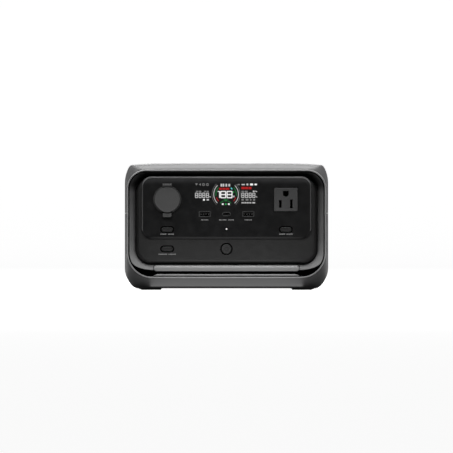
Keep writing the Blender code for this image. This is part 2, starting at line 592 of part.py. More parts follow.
def make_port(name, tongue, size, x, round_ends, tongue_size, tongue_z):
    """A metal shell open at the front, with a contact tongue inside it."""
    y = (FASCIA_Y[0] + GAP, PORT_DEPTH_Y)
    width, height = size
    if round_ends:
        shell = front_plate(name, "steel", pill(width, height, x, PORT_Z), y)
        bore = pill(width - 0.8, height - 0.8, x, PORT_Z)
        inside = front_plate(f"{name}_bore", None, bore, (-115, y[1] - 0.8))
    else:
        half = (width / 2, height / 2)
        shell = box(name, "steel", (x - half[0], x + half[0]), y, (PORT_Z - half[1], PORT_Z + half[1]))
        inside = box(f"{name}_bore", None, (x - half[0] + 0.5, x + half[0] - 0.5), (-115, y[1] - 0.8),
                     (PORT_Z - half[1] + 0.5, PORT_Z + half[1] - 0.5))
    smooth(cut(shell, inside))
    half_x, half_z = tongue_size[0] / 2, tongue_size[1] / 2
    box(tongue, "socket" if round_ends else "lens", (x - half_x, x + half_x), (y[0] + 1.2, y[1] - 0.8 - GAP),
        (PORT_Z + tongue_z - half_z, PORT_Z + tongue_z + half_z))


def make_ports():
    for side, x in (("left", -USB_A_X), ("right", USB_A_X)):
        make_port(f"usb_a_shell_{side}", f"usb_a_tongue_{side}", USB_A, x, False,
                  USB_A_TONGUE, USB_A_TONGUE_RISE)
    make_port("usb_c_shell", "usb_c_tongue", USB_C, 0.0, True, USB_C_TONGUE, 0.0)


# ---- Boards and display --------------------------------------------------------------------------
def chip_row(name, board, places, y=None, z=None):
    """Components that stand on a board: each place is (x, other, half width, half depth, height)."""
    for i, (x, other, half_x, half_o, height) in enumerate(places):
        across = (x - half_x, x + half_x)
        along = (other - half_o, other + half_o)
        if y is not None:
            chip = box(f"{name}_{i}", None, across, sorted((y, y + height)), along)
        else:
            chip = box(f"{name}_{i}", None, across, along, sorted((z, z + height)))
        join(board, chip)


def make_boards():
    button_board = box("button_board", "board", *BUTTON_BOARD)
    mount_y = BUTTON_BOARD[1][0] + SOLDER
    switches = [(x, z, 3.0, 3.0, SWITCH_Y - mount_y) for x, z, *_ in BUTTONS.values()]
    chip_row("switch", button_board, switches, y=mount_y)

    box("display_glass", "glass", *DISPLAY_GLASS)
    display = box("display_board", "board", *DISPLAY_BOARD)
    chip_row("display_chip", display, DISPLAY_CHIPS, y=DISPLAY_BOARD[1][1] - SOLDER)

    output = box("output_board", "board", *OUTPUT_BOARD)
    chip_row("output_chip", output, OUTPUT_CHIPS, y=OUTPUT_BOARD[1][1] - SOLDER)

    inverter = box("inverter_board", "board", *INVERTER_BOARD)
    chip_row("inverter_part", inverter, INVERTER_PARTS, z=INVERTER_BOARD[2][1] - SOLDER)

    bms = box("bms_board", "board", *BMS_BOARD)
    outside = BMS_BOARD[0][0]
    for i in range(BMS_CHIPS):
        middle = -44 + i * CELL_PITCH
        across = (outside - 4.5, outside + SOLDER)
        join(bms, box(f"bms_chip_{i}", None, across, (middle - 6, middle + 6), (34, 58)))

    make_heat_sink()


def make_heat_sink():
    """A finned block: its comb-shaped section is drawn across x, and it runs along y."""
    base_z, root_z, tip_z = SINK_Z
    left = -(FINS - 1) * FIN_PITCH / 2
    points = [(left - FIN_THICK, base_z), (-left + FIN_THICK, base_z)]
    for i in reversed(range(FINS)):
        middle = left + i * FIN_PITCH
        points += [(middle + FIN_THICK / 2, root_z), (middle + FIN_THICK / 2, tip_z),
                   (middle - FIN_THICK / 2, tip_z), (middle - FIN_THICK / 2, root_z)]
    front_plate("heat_sink", "aluminium", points, SINK_Y)


# ---- Battery and fan -----------------------------------------------------------------------------
def make_battery():
    width, depth, height = CELL_SIZE
    top = CELL_FLOOR_Z + height
    for i in range(4):
        start = CELL_START_Y + i * CELL_PITCH
        cell = box(f"battery_cell_{i + 1}", "cell", (-width / 2, width / 2), (start, start + depth),
                   (CELL_FLOOR_Z, top))
        for x in (-CELL_POST_X, CELL_POST_X):
            post = rod(f"cell_{i + 1}_post_{x}", None, "Z", (x, start + depth / 2), CELL_POST_R,
                       (top - 1, top + CELL_POST_RISE), 16)
            join(cell, post)
    y = (CELL_START_Y - 3, CELL_START_Y + 3 * CELL_PITCH + depth + 3)
    tray = box("battery_tray", "socket", (-width / 2 - 3, width / 2 + 3), y, TRAY_Z)
    pocket = ((-width / 2 - 0.8, width / 2 + 0.8), (y[0] + TRAY_WALL, y[1] - TRAY_WALL),
              (CELL_FLOOR_Z - 0.4, TRAY_Z[1] + 8))
    cut(tray, box("tray_pocket", None, *pocket))


def make_fan():
    frame = box("fan_frame", "pod", FAN_X, (-FAN_HALF, FAN_HALF), (FAN_Z - FAN_HALF, FAN_Z + FAN_HALF))
    bore = rod("fan_bore", None, "X", (0, FAN_Z), FAN_BORE_R, (FAN_X[0] - 1, FAN_X[1] + 1), 32)
    cut(frame, bore)
    motor = rod("motor_mount", None, "X", (0, FAN_Z), FAN_HUB_R, (FAN_X[0], FAN_X[0] + 2), 24)
    arms = []
    for i in range(3):
        arm = box(f"motor_arm_{i}", None, (FAN_X[0], FAN_X[0] + 2), (-1.5, 1.5), (5, FAN_BORE_R + 1))
        arm.data.transform(Matrix.Rotation(math.tau * i / 3, 4, "X"))
        arm.data.transform(Matrix.Translation((0, 0, FAN_Z * MM)))
        arms.append(arm)
    smooth(join(frame, motor, *arms))

    rotor_x = (FAN_X[0] + 2.6, FAN_X[1] - 1.2)
    rotor = rod("fan_rotor", "socket", "X", (0, FAN_Z), FAN_HUB_R + 0.5, rotor_x, 24)
    middle = sum(rotor_x) / 2
    for i in range(FAN_BLADES):
        blade = box(f"blade_{i}", None, (-5.0, 5.0), (-0.6, 0.6), (FAN_HUB_R - 1, FAN_BORE_R - 1.0))
        blade.data.transform(Matrix.Rotation(math.radians(FAN_PITCH), 4, "Z"))
        blade.data.transform(Matrix.Rotation(math.tau * i / FAN_BLADES, 4, "X"))
        blade.data.transform(Matrix.Translation((middle * MM, 0, FAN_Z * MM)))
        join(rotor, blade)
    pivot(smooth_part(rotor), (middle, 0, FAN_Z))


# ---- Sides and rear ------------------------------------------------------------------------------
def make_grilles():
    """A slotted plate in each side window, with a flange behind the wall."""
    for name, side in (("side_grille_left", -1), ("side_grille_right", 1)):
        outside = HALF_WIDTH - 0.5
        y = (-GRILLE_HALF_Y + GAP, GRILLE_HALF_Y - GAP)
        z = (GRILLE_Z[0] + GAP, GRILLE_Z[1] - GAP)
        plate = box(name, "pod", sorted((side * (outside - 3.6), side * outside)), y, z)
        back = HALF_WIDTH - WALL - GAP
        flange = box(f"{name}_flange", None, sorted((side * (back - 1.3), side * back)),
                     (y[0] - 2.5, y[1] + 2.5), (z[0] - 2.5, z[1] + 2.5))
        bm = bmesh.new()
        for i in range(GRILLE_SLOTS):
            middle = (i - (GRILLE_SLOTS - 1) / 2) * GRILLE_PITCH
            made = bmesh.ops.create_cube(bm, size=1.0)
            move = Matrix.LocRotScale(Vector((side * outside, middle, sum(z) / 2)) * MM, None,
                                      Vector((20, GRILLE_SLOT, GRILLE_SLOT_TALL)) * MM)
            bmesh.ops.transform(bm, matrix=move, verts=made["verts"])
        comb = place(finish_mesh(bm, f"{name}_slots"), f"{name}_slots")
        cut(join(plate, flange), comb)


def make_rear():
    panel_outline = outline(HALF_WIDTH, FLOOR_Z, TOP_Z, BOTTOM_CORNER, TOP_CORNER, CROWN, grow=-WALL - 0.4)
    panel = front_plate("rear_panel", "pod", panel_outline, REAR_PANEL_Y)
    span = (60.0, 80.0)
    holes = [centred_box("inlet_hole", None, INLET_X, INLET_Z, INLET_BODY, span, GAP),
             centred_box("solar_hole", None, SOLAR_X, SOLAR_Z, SOLAR_BODY, span, GAP + 0.1)]
    for i, (x, z) in enumerate((x, z) for x in (-SCREW_X, SCREW_X) for z in SCREW_Z):
        holes.append(rod(f"screw_hole_{i}", None, "Y", (x, z), SCREW_SHANK_R + 0.5, span, 12))
        head_y = (REAR_PANEL_Y[1] + GAP, REAR_PANEL_Y[1] + GAP + 1.7)
        screw = rod(f"case_screw_{i + 1}", "steel", "Y", (x, z), SCREW_HEAD_R, head_y, 16)
        shank_y = (SCREW_TIP_Y, REAR_PANEL_Y[1] + 1)
        join(screw, rod(f"screw_shank_{i}", None, "Y", (x, z), SCREW_SHANK_R, shank_y, 12))
        cut(screw, rod(f"screw_drive_{i}", None, "Y", (x, z), 1.4, (head_y[1] - 0.9, 80), 6))
        smooth(screw)
    smooth(cut(panel, *holes))
    make_handle()
    make_inlet()
    make_solar_inlet()


def corner_arc(x, y, radius, start, steps=5):
    """A quarter circle of points, from the angle start, in degrees."""
    return [(x + radius * math.cos(math.radians(start + 90 * i / steps)),
             y + radius * math.sin(math.radians(start + 90 * i / steps))) for i in range(steps + 1)]


def mirrored(points):
    """The same stretch of outline on the other side of x = 0, in the order that continues it."""
    return [(-x, y) for x, y in reversed(points)]


def make_handle():
    foot_y = REAR_PANEL_Y[1] + GAP
    inner, bar_y = HANDLE_HALF - ARM_WIDTH, HANDLE_Y - BAR_DEPTH
    wide, tight = HANDLE_OUTER_R, HANDLE_INNER_R
    outer = [(HANDLE_HALF, foot_y)] + corner_arc(HANDLE_HALF - wide, HANDLE_Y - wide, wide, 0)
    inside = [(inner, foot_y)] + corner_arc(inner - tight, bar_y - tight, tight, 0)
    loop = outer + mirrored(outer) + [(-x, y) for x, y in inside] + inside[::-1]
    handle = flat_plate("rear_handle", "shell", loop, HANDLE_Z)
    round_edges(handle, lambda x, y, z: y > foot_y + 0.1 and (z > HANDLE_Z[1] - 0.1 or z < HANDLE_Z[0] + 0.1),
                HANDLE_ROUND, 2)
    smooth(handle)
    grip_y = (bar_y - GAP - GRIP_THICK, bar_y - GAP)
    grip = box("handle_grip", "rubber", (-GRIP_HALF, GRIP_HALF), grip_y, GRIP_Z)
    round_edges(grip, lambda x, y, z: y < grip_y[0] + 0.1, 1.0, 2)


def centred_box(name, kind, x, z, half, y, grow=0.0):
    """A box whose half width and half height are given about (x, z)."""
    across, up = half[0] + grow, half[1] + grow
    return box(name, kind, (x - across, x + across), y, (z - up, z + up))


def make_inlet():
    """A three-pole appliance inlet."""
    x, z = INLET_X, INLET_Z
    flange_y = (REAR_PANEL_Y[1] + GAP, REAR_PANEL_Y[1] + GAP + 2.0)
    inlet = centred_box("ac_inlet", "socket", x, z, INLET_FLANGE, flange_y)
    body = centred_box("inlet_body", None, x, z, INLET_BODY, (INLET_BACK_Y, flange_y[0] + 1))
    cavity = centred_box("inlet_cavity", None, x, z, INLET_CAVITY, (INLET_FLOOR_Y, 90))
    holes = []
    for name, (across, up) in INLET_PINS.items():
        place_x, place_z = x + across, z + up
        centred_box(name, "copper", place_x, place_z, INLET_PIN_HALF, INLET_PIN_Y)
        holes.append(centred_box(f"{name}_hole", None, place_x, place_z, INLET_PIN_HALF, (45, 60), GAP))
    cut(join(inlet, body), cavity, *holes)


def make_solar_inlet():
    """A two-pole charging inlet under a hinged cover."""
    x, z = SOLAR_X, SOLAR_Z
    hinge_y, hinge_z = COVER_HINGE
    plate_y = (REAR_PANEL_Y[1] + GAP, REAR_PANEL_Y[1] + GAP + 1.2)
    inlet = box("solar_inlet", "amber", (x - 14, x + 14), plate_y, (z - 9, z + 9.5))
    body = centred_box("solar_body", None, x, z, SOLAR_BODY, (INLET_BACK_Y, plate_y[0] + 0.6))
    ears = [box(f"cover_ear_{side}", None, sorted((x + side * (COVER_STRAP_HALF + GAP), x + side * 6.4)),
                (plate_y[0] + 0.2, hinge_y + 1.8), (z + 8.6, hinge_z + 1.8)) for side in (-1, 1)]
    cavity = centred_box("solar_cavity", None, x, z, SOLAR_CAVITY, (60.0, 90))
    reach, pole_r = SOLAR_POLE
    pins = [rod(f"solar_pole_{side}", None, "Y", (x + side * reach, z), pole_r, (58.0, 72.0), 12)
            for side in (-1, 1)]
    ear_hole = rod("cover_ear_hole", None, "X", COVER_HINGE, PIN_HOLE_R, (x - 9, x + 9), 12)
    smooth(cut(join(cut(join(inlet, body, *ears), cavity), *pins), ear_hole))

    rod("cover_hinge_pin", "steel", "X", COVER_HINGE, PIN_R, (x - 6.3, x + 6.3), 12)
    cover_y = (plate_y[1] + GAP, plate_y[1] + GAP + COVER_THICK)
    cover = box("solar_inlet_cover", "rubber", (x - COVER_HALF, x + COVER_HALF), cover_y,
                (z + COVER_RISE[0], z + COVER_RISE[1]))
    round_edges(cover, lambda px, py, pz: True, 0.6, 1)
    across = (x - COVER_STRAP_HALF, x + COVER_STRAP_HALF)
    strap = box("cover_strap", None, across, cover_y, (z + 6, hinge_z))
    knuckle = rod("cover_knuckle", None, "X", COVER_HINGE, COVER_KNUCKLE_R, across, 16)
    plug = centred_box("cover_plug", None, x, z, COVER_PLUG, (plate_y[0] + 0.1, cover_y[0] + 0.4))
    hole = rod("cover_hole", None, "X", COVER_HINGE, PIN_HOLE_R, (x - 9, x + 9), 12)
    pivot(smooth_part(cut(join(cover, strap, knuckle, plug), hole)), (x, hinge_y, hinge_z))


def main():
    global parts, tools
    for thing in list(bpy.data.objects):
        bpy.data.objects.remove(thing, do_unlink=True)
    parts = bpy.data.collections.new("power_station")
    tools = bpy.data.collections.new("cutters")
    for group in (parts, tools):
        bpy.context.scene.collection.children.link(group)
    make_case()
    make_feet()
    make_band()
    make_light()
    make_panels()
    make_buttons()
    make_outlet()
    make_car_socket()
    make_ports()
    make_boards()
    make_battery()
    make_fan()
    make_grilles()
    make_rear()


main()
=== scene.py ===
"""The looks of the portable power station: fine shells, panels, sockets, display and finishes, built round
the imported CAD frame. Lengths below are in millimetres unless a name says otherwise."""
import json
import math

import bmesh
import bpy
from mathutils import Matrix, Vector


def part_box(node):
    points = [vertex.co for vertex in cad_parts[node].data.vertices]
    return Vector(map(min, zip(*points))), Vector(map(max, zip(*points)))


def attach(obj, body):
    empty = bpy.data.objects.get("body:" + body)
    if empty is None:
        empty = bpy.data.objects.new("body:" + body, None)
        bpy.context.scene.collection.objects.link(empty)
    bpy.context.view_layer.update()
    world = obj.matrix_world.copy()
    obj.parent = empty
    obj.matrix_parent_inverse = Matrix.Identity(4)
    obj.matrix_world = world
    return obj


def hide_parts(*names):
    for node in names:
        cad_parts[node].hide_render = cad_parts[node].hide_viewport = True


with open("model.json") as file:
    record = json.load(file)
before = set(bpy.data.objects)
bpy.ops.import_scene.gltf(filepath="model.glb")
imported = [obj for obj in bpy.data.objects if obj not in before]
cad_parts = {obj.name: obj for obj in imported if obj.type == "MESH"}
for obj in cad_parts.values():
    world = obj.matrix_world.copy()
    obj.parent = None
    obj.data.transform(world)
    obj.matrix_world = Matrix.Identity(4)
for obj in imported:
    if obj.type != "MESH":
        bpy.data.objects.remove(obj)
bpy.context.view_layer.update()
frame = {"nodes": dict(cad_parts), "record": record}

MM = 0.001


def span(node):
    """Lowest and highest corner of a CAD node, in millimetres."""
    low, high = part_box(node)
    return low / MM, high / MM


def centre(node):
    """The middle of a CAD node's box, as x, y and z in millimetres."""
    low, high = span(node)
    return [(a + b) / 2 for a, b in zip(low, high)]


# ---- Sizes, read from the frame where it has them -------------------------------------------------
SHELL_LOW, SHELL_HIGH = span("lower_shell")[0], span("upper_shell")[1]
HALF_WIDTH = SHELL_HIGH.x
FLOOR_Z, TOP_Z = SHELL_LOW.z, SHELL_HIGH.z
FRONT_Y, REAR_Y = SHELL_LOW.y, SHELL_HIGH.y
PARTING_Z = (span("lower_shell")[1].z + span("upper_shell")[0].z) / 2
SEAM = 0.45
WALL = 2.6
BEVEL_DEPTH = 16.0
BOTTOM_CORNER, TOP_CORNER = (30.0, 30.0, 52.0), (40.0, 40.0, 33.0)
CROWN = 1.5
LIP = dict(half=115.0, low=13.4, high=139.0, bottom=(29.0, 30.0, 90.0), top=(22.0, 22.0, 90.0))
LIP_INSIDE = dict(half=112.8, low=15.4, high=136.6, bottom=(27.0, 28.0, 90.0), top=(20.0, 20.0, 90.0))
LIP_DEPTH = 13.0
BEVEL_TURN = 52.0             # degrees that the front bevel turns through; the lip's bead turns the rest

BAND_LOW, BAND_HIGH = span("front_bezel")
BAND_OUTSIDE = dict(half=111.9, low=17.3, high=136.1, bottom=(26.1, 26.1, 90.0), top=(19.0, 19.0, 90.0))
BAND_CHIN = (84.0, 34.5, 25.9, 11.5, 75.0)
BAND_INSIDE = dict(half=105.0, low=28.8, high=131.9, bottom=(18.0, 18.0, 90.0), top=(20.0, 20.0, 90.0))
BAND_INNER_Y = -102.0

POD_LOW, POD_HIGH = span("front_panel")
POD = dict(half=103.0, low=31.6, high=131.2, bottom=(15.0, 15.0, 90.0), top=(18.5, 18.5, 90.0))
POD_ROUND = 3.6
POD_SKIN = 2.5
FASCIA_LOW, FASCIA_HIGH = span("socket_panel")
FASCIA = dict(half=FASCIA_HIGH.x, low=FASCIA_LOW.z, high=FASCIA_HIGH.z,
              bottom=(11.5, 11.5, 90.0), top=(11.5, 11.5, 90.0))
FACE_Y, FACE_BACK = FASCIA_LOW.y, FASCIA_HIGH.y
POD_Y = POD_LOW.y

SOCKET_X, _, SOCKET_Z = centre("ac_outlet_face")
PIN_HOLE, SOCKET_BARREL, INLET_BARREL = 1.0, 1.7, 1.6     # radii of the two hinges
USB_A_X, PORT_Z = 25.0, 87.4
STEPS, EASE_STEPS = 18, 7
EASE = 4.0                    # how far the creases of the body's corners are rounded

BUTTONS = {"dc_button": ("socket_panel", False), "ac_button": ("socket_panel", False),
           "light_button": ("front_panel", False), "power_button": ("front_panel", True)}
BUTTON_SIZE, POWER_R = (13.7, 5.6), 5.9
BUTTON_FRAME = 1.5            # width of the recess round a button, lined in painted shade


# ---- Materials ------------------------------------------------------------------------------------
def node(tree, kind, **values):
    made = tree.nodes.new(kind)
    for key, value in values.items():
        if key in made.inputs:
            made.inputs[key].default_value = value
        else:
            setattr(made, key, value)
    return made


def noise(tree, where, scale, detail=3.0, rough=0.55):
    made = node(tree, "ShaderNodeTexNoise", Scale=scale, Detail=detail, Roughness=rough)
    tree.links.new(where, made.inputs["Vector"])
    return made.outputs["Fac"]


def ramp(tree, source, low, high, out_low, out_high):
    made = node(tree, "ShaderNodeMapRange")
    for key, value in {"From Min": low, "From Max": high, "To Min": out_low, "To Max": out_high}.items():
        made.inputs[key].default_value = value
    tree.links.new(source, made.inputs["Value"])
    return made.outputs["Result"]


def mix_colour(tree, factor, first, second):
    made = node(tree, "ShaderNodeMix", data_type="RGBA")
    tree.links.new(factor, made.inputs[0])
    for value, socket in ((first, made.inputs[6]), (second, made.inputs[7])):
        if isinstance(value, tuple):
            socket.default_value = (*value, 1.0)
        else:
            tree.links.new(value, socket)
    return made.outputs[2]


def shade(colour, gain):
    return tuple(min(1.0, channel * gain) for channel in colour)


def surface(name, colour, roughness, metallic=0.0, grain=1500.0, relief=0.12, mottle=0.10, wear=0.25,
            scuff=0.08, coat=0.0, glow=None, stretch=(1.0, 1.0, 1.0), specular=0.5, fades=()):
    """A moulded, painted or metal surface.

    grain is the size of the mould texture in cells a metre, relief its depth, mottle the drift of the
    colour, wear the paling of the edges, and scuff the drift of the roughness. Each of the fades paints
    light or shade by height, as (low, high, share): above the height low, in metres, the colour
    changes, and from high up it is that share of itself.
    """
    made = bpy.data.materials.new(name)
    made.use_nodes = True
    tree = made.node_tree
    shader = tree.nodes["Principled BSDF"]
    place = node(tree, "ShaderNodeTexCoord")
    mapping = node(tree, "ShaderNodeMapping", Scale=stretch)
    tree.links.new(place.outputs["Object"], mapping.inputs["Vector"])
    where = mapping.outputs["Vector"]

    broad = ramp(tree, noise(tree, where, 38.0, 4.0), 0.3, 0.7, 0.0, 1.0)
    base = mix_colour(tree, broad, shade(colour, 1 - mottle), shade(colour, 1 + mottle))
    speck = ramp(tree, noise(tree, where, grain * 0.6, 2.0), 0.45, 0.75, 0.0, 0.35)
    base = mix_colour(tree, speck, base, shade(colour, 1.22))
    if wear:
        shape = node(tree, "ShaderNodeNewGeometry")
        edge = ramp(tree, shape.outputs["Pointiness"], 0.52, 0.60, 0.0, wear)
        base = mix_colour(tree, edge, base, shade(colour, 1.9))
    for low, high, share in fades:
        axes = node(tree, "ShaderNodeSeparateXYZ")
        tree.links.new(place.outputs["Object"], axes.inputs[0])
        height = ramp(tree, axes.outputs["Z"], low, high, 0.0, 1.0)
        base = mix_colour(tree, height, base, shade(colour, share))
    tree.links.new(base, shader.inputs["Base Color"])

    drift = ramp(tree, noise(tree, where, 130.0, 5.0, 0.6), 0.3, 0.7, roughness - scuff, roughness + scuff)
    tree.links.new(drift, shader.inputs["Roughness"])

    cells = node(tree, "ShaderNodeTexVoronoi", Scale=grain)
    tree.links.new(where, cells.inputs["Vector"])
    rise = node(tree, "ShaderNodeMath", operation="ADD")
    tree.links.new(cells.outputs["Distance"], rise.inputs[0])
    tree.links.new(noise(tree, where, grain * 0.8, 3.0), rise.inputs[1])
    bump = node(tree, "ShaderNodeBump", Strength=relief, Distance=0.00008)
    tree.links.new(rise.outputs[0], bump.inputs["Height"])
    tree.links.new(bump.outputs["Normal"], shader.inputs["Normal"])

    settings = {"Metallic": metallic, "Specular IOR Level": specular, "Coat Weight": coat,
                "Coat Roughness": 0.2}
    if glow:
        settings.update({"Emission Color": (*glow[0], 1.0), "Emission Strength": glow[1]})
    for key, value in settings.items():
        shader.inputs[key].default_value = value
    return made


def build_materials():
    fine = dict(relief=0.10, mottle=0.07)
    return {
        "shell": surface("case_plastic", (0.088, 0.088, 0.089), 0.40, grain=2600, relief=0.02, mottle=0.02,
                         scuff=0.02),
        # edge is a painted highlight: a pale skin laid over the lip's bead, paler still at the top.
        "edge": surface("lip_painted_highlight_plastic", (0.270, 0.270, 0.271), 0.5, grain=2600, relief=0.05, mottle=0.03,
                        scuff=0.02, wear=0.0, fades=((0.125, 0.138, 1.4),)),
        # The band's fades are painted light and shade: it is palest at its foot, darker upwards, and near
        # black under the top lip.
        "band": surface("band_painted_shade", (0.210, 0.210, 0.211), 0.42, grain=2600, **fine, scuff=0.04,
                        fades=((0.038, 0.058, 0.60), (0.078, 0.104, 0.40), (0.1115, 0.1205, 0.03))),
        "pod": surface("panel_plastic", (0.022, 0.022, 0.022), 0.48, grain=2200, **fine),
        # The fascia's fade is painted light: the slope under its top rim is paler.
        "fascia": surface("smoked_panel_painted_light", (0.0080, 0.0080, 0.0083), 0.36, grain=3400, relief=0.05,
                          mottle=0.05, wear=0.10, fades=((0.1215, 0.1268, 3.2),)),
        # A painted highlight along the fascia's rim, paler at the top.
        "fascia_highlight": surface("smoked_painted_highlight", (0.078, 0.078, 0.079), 0.36, grain=3400, relief=0.05,
                               mottle=0.05, wear=0.0, fades=((0.120, 0.130, 3.0),)),
        # Painted shade: a near-black, dull finish laid where recesses, grooves and port mouths fall into
        # shade.
        "painted_shade": surface("painted_shade_black", (0.002, 0.002, 0.002), 0.7, grain=2400, wear=0.0, specular=0.05,
                        **fine),
        "lens": surface("diffuser", (0.235, 0.235, 0.235), 0.32, grain=3000, relief=0.02, mottle=0.015,
                        wear=0.0, scuff=0.02, coat=0.3),
        "faint": surface("faint_mark", (0.008, 0.008, 0.008), 0.6, grain=4000, relief=0.05, wear=0.0),
        "dark_steel": surface("dark_steel", (0.075, 0.075, 0.08), 0.38, metallic=1.0, grain=900, relief=0.08,
                              mottle=0.05, stretch=(1, 12, 1)),
        # The contacts are lit and shaded copies of one metal: the USB-A pads are paled, painted light, so
        # they show in the shade of their ports, and the deeper USB-C and outlet contacts are darkened as
        # painted shade.
        "contact": surface("contact_painted_light", (0.19, 0.19, 0.187), 0.5, grain=1200, relief=0.08),
        "shaded_contact": surface("contact_painted_shade", (0.020, 0.020, 0.020), 0.45, metallic=0.5, grain=1200,
                                relief=0.08),
        # A painted reflection: the pale strip that stands for the light bar's reflection in the lower groove.
        "painted_reflection": surface("reflection_paint", (0.22, 0.22, 0.22), 0.3, grain=2400, **fine),
        "button": surface("button_plastic", (0.020, 0.020, 0.020), 0.42, grain=2600, **fine),
        "rubber": surface("cap_rubber", (0.076, 0.076, 0.076), 0.72, grain=2300, relief=0.2, mottle=0.05,
                          wear=0.15, specular=0.3),
        "foot": surface("foot_rubber", (0.05, 0.05, 0.05), 0.85, grain=1500, relief=0.3, specular=0.25),
        "socket": surface("outlet_plastic", (0.055, 0.055, 0.0555), 0.55, grain=2300, **fine),
        "ring": surface("socket_ring", (0.030, 0.030, 0.030), 0.5, grain=2600, **fine),
        "rim": surface("port_rim", (0.034, 0.034, 0.034), 0.45, grain=2600, **fine),
        "steel": surface("port_steel", (0.50, 0.50, 0.52), 0.28, metallic=1.0, grain=900, relief=0.08,
                         mottle=0.05, stretch=(1, 12, 1)),
        "copper": surface("contact_plating", (0.83, 0.60, 0.28), 0.30, metallic=1.0, grain=1200, relief=0.08),
        "mark": surface("printed_mark", (0.31, 0.31, 0.31), 0.6, grain=4000, relief=0.05, wear=0.0),
        "board": surface("circuit_board", (0.015, 0.13, 0.06), 0.42, grain=700, relief=0.35, mottle=0.3,
                         coat=0.4),
        "cell": surface("cell_wrap", (0.06, 0.14, 0.38), 0.35, grain=500, relief=0.1, coat=0.3),
        "alloy": surface("extruded_alloy", (0.68, 0.68, 0.70), 0.32, metallic=1.0, grain=1000, relief=0.12,
                         stretch=(1, 0.05, 1)),
        "glass": surface("display_glass", (0.01, 0.01, 0.012), 0.10, grain=500, relief=0.01, wear=0.0,
                         coat=1.0),
        "amber": surface("amber_plastic", (0.72, 0.40, 0.03), 0.36, grain=2000, **fine),
        "tongue": surface("port_tongue", (0.006, 0.006, 0.006), 0.6, grain=2600, **fine),
        "white_light": lit("lit_white", (0.93, 0.93, 0.93), 0.85),
        "soft_light": lit("lit_soft", (0.80, 0.80, 0.80), 0.60),
        "dim_light": lit("lit_dim", (0.50, 0.50, 0.50), 0.34),
        "green_light": lit("lit_green", (0.05, 0.55, 0.13), 0.55),
        "dark_green_light": lit("lit_dark_green", (0.03, 0.30, 0.08), 0.38),
        "red_light": lit("lit_red", (0.80, 0.02, 0.02), 0.42),
        "cyan_light": lit("lit_cyan", (0.15, 0.75, 0.80), 0.75),
    }


def lit(name, colour, strength):
    """A lit segment of the display, a little uneven as a real backlight is."""
    return surface(name, shade(colour, 0.1), 0.4, grain=2500, relief=0.03, mottle=0.05, wear=0.0,
                   glow=(colour, strength))


MATERIALS = build_materials()


# ---- Outlines -------------------------------------------------------------------------------------
def mirrored(points):
    return [(-x, z) for x, z in reversed(points)]


def outline(half, low, high, bottom, top, crown=0.0, steps=STEPS, grow=0.0, ease=0.0):
    """A closed outline, symmetric about x = 0, with an elliptic arc of (across, up, degrees) at each corner.

    Where the arcs stop short of level, ease is how far from their ends the crease there is rounded off.
    """
    half, low, high = half + grow, low - grow, high + grow
    right = []
    for (across, up, degrees), side in ((bottom, -1), (top, 1)):
        across, up = across + grow, up + grow
        sweep = math.radians(degrees)
        level = (low if side < 0 else high - crown) - side * up * math.sin(sweep)

        def on_arc(turn):
            return half - across + across * math.cos(turn), level + side * up * math.sin(turn)
        curve_steps = EASE_STEPS if ease else 0
        arc_steps = steps - curve_steps
        stop = sweep - 2 * ease / (across + up)
        arc = [on_arc(stop * i / arc_steps) for i in range(arc_steps + 1)]
        start, crease = arc[-1], on_arc(sweep)
        end = (crease[0] - ease, crease[1])
        for i in range(1, curve_steps + 1):
            share = i / curve_steps
            weights = ((1 - share) ** 2, 2 * share * (1 - share), share ** 2)
            arc.append(tuple(sum(w * point[axis] for w, point in zip(weights, (start, crease, end)))
                             for axis in (0, 1)))
        right += arc[::-1] if side < 0 else arc
    end, level = right[-1]
    ridge = [(end * (1 - i / 10), level + crown * (1 - abs(1 - i / 10) ** 7)) for i in range(1, 20)]
    return right + (ridge if crown else []) + mirrored(right)


def circle(radius, x, z, steps=48):
    return lambda grow=0.0: [(x + (radius + grow) * math.cos(math.tau * i / steps),
                              z + (radius + grow) * math.sin(math.tau * i / steps)) for i in range(steps)]


def rounded(half_x, half_z, corner, x, z, steps=8):
    """A rounded rectangle about (x, z), as a function of how far it is grown."""
    def points(grow=0.0):
        radius = max(corner + grow, 0.02)
        made = []
        for quarter, (sx, sz) in enumerate(((1, 1), (-1, 1), (-1, -1), (1, -1))):
            cx, cz = x + sx * (half_x + grow - radius), z + sz * (half_z + grow - radius)
            made += [(cx + radius * math.cos(math.pi / 2 * (quarter + i / steps)),
                      cz + radius * math.sin(math.pi / 2 * (quarter + i / steps))) for i in range(steps + 1)]
        return made
    return points


def pill(width, height, x, z):
    return rounded(width / 2, height / 2, height / 2, x, z, 12)


def grown(sizes):
    return lambda grow=0.0: outline(**sizes, grow=grow)


def blend(first, second, share):
    """The outline that lies share of the way from the first to the second."""
    return [tuple(a * (1 - share) + b * share for a, b in zip(*pair)) for pair in zip(first, second)]


def quarter_turn(steps, start=0):
    """The sine, and one less the cosine, at even steps up to a right angle."""
    angles = [math.pi / 2 * i / steps for i in range(start, steps + 1)]
    return [(math.sin(angle), 1 - math.cos(angle)) for angle in angles]


# ---- Meshes ---------------------------------------------------------------------------------------
def skin(bm, rows, closed_rows=False):
    """Faces between successive closed rows of vertices, with an n-gon on the first and last row."""
    pairs = list(zip(rows, rows[1:]))
    if closed_rows:
        pairs.append((rows[-1], rows[0]))
    for first, second in pairs:
        count = len(first)
        for i in range(count):
            bm.faces.new((first[i], first[(i + 1) % count], second[(i + 1) % count], second[i]))
    if not closed_rows:
        bm.faces.new(rows[0][::-1])
        bm.faces.new(rows[-1])


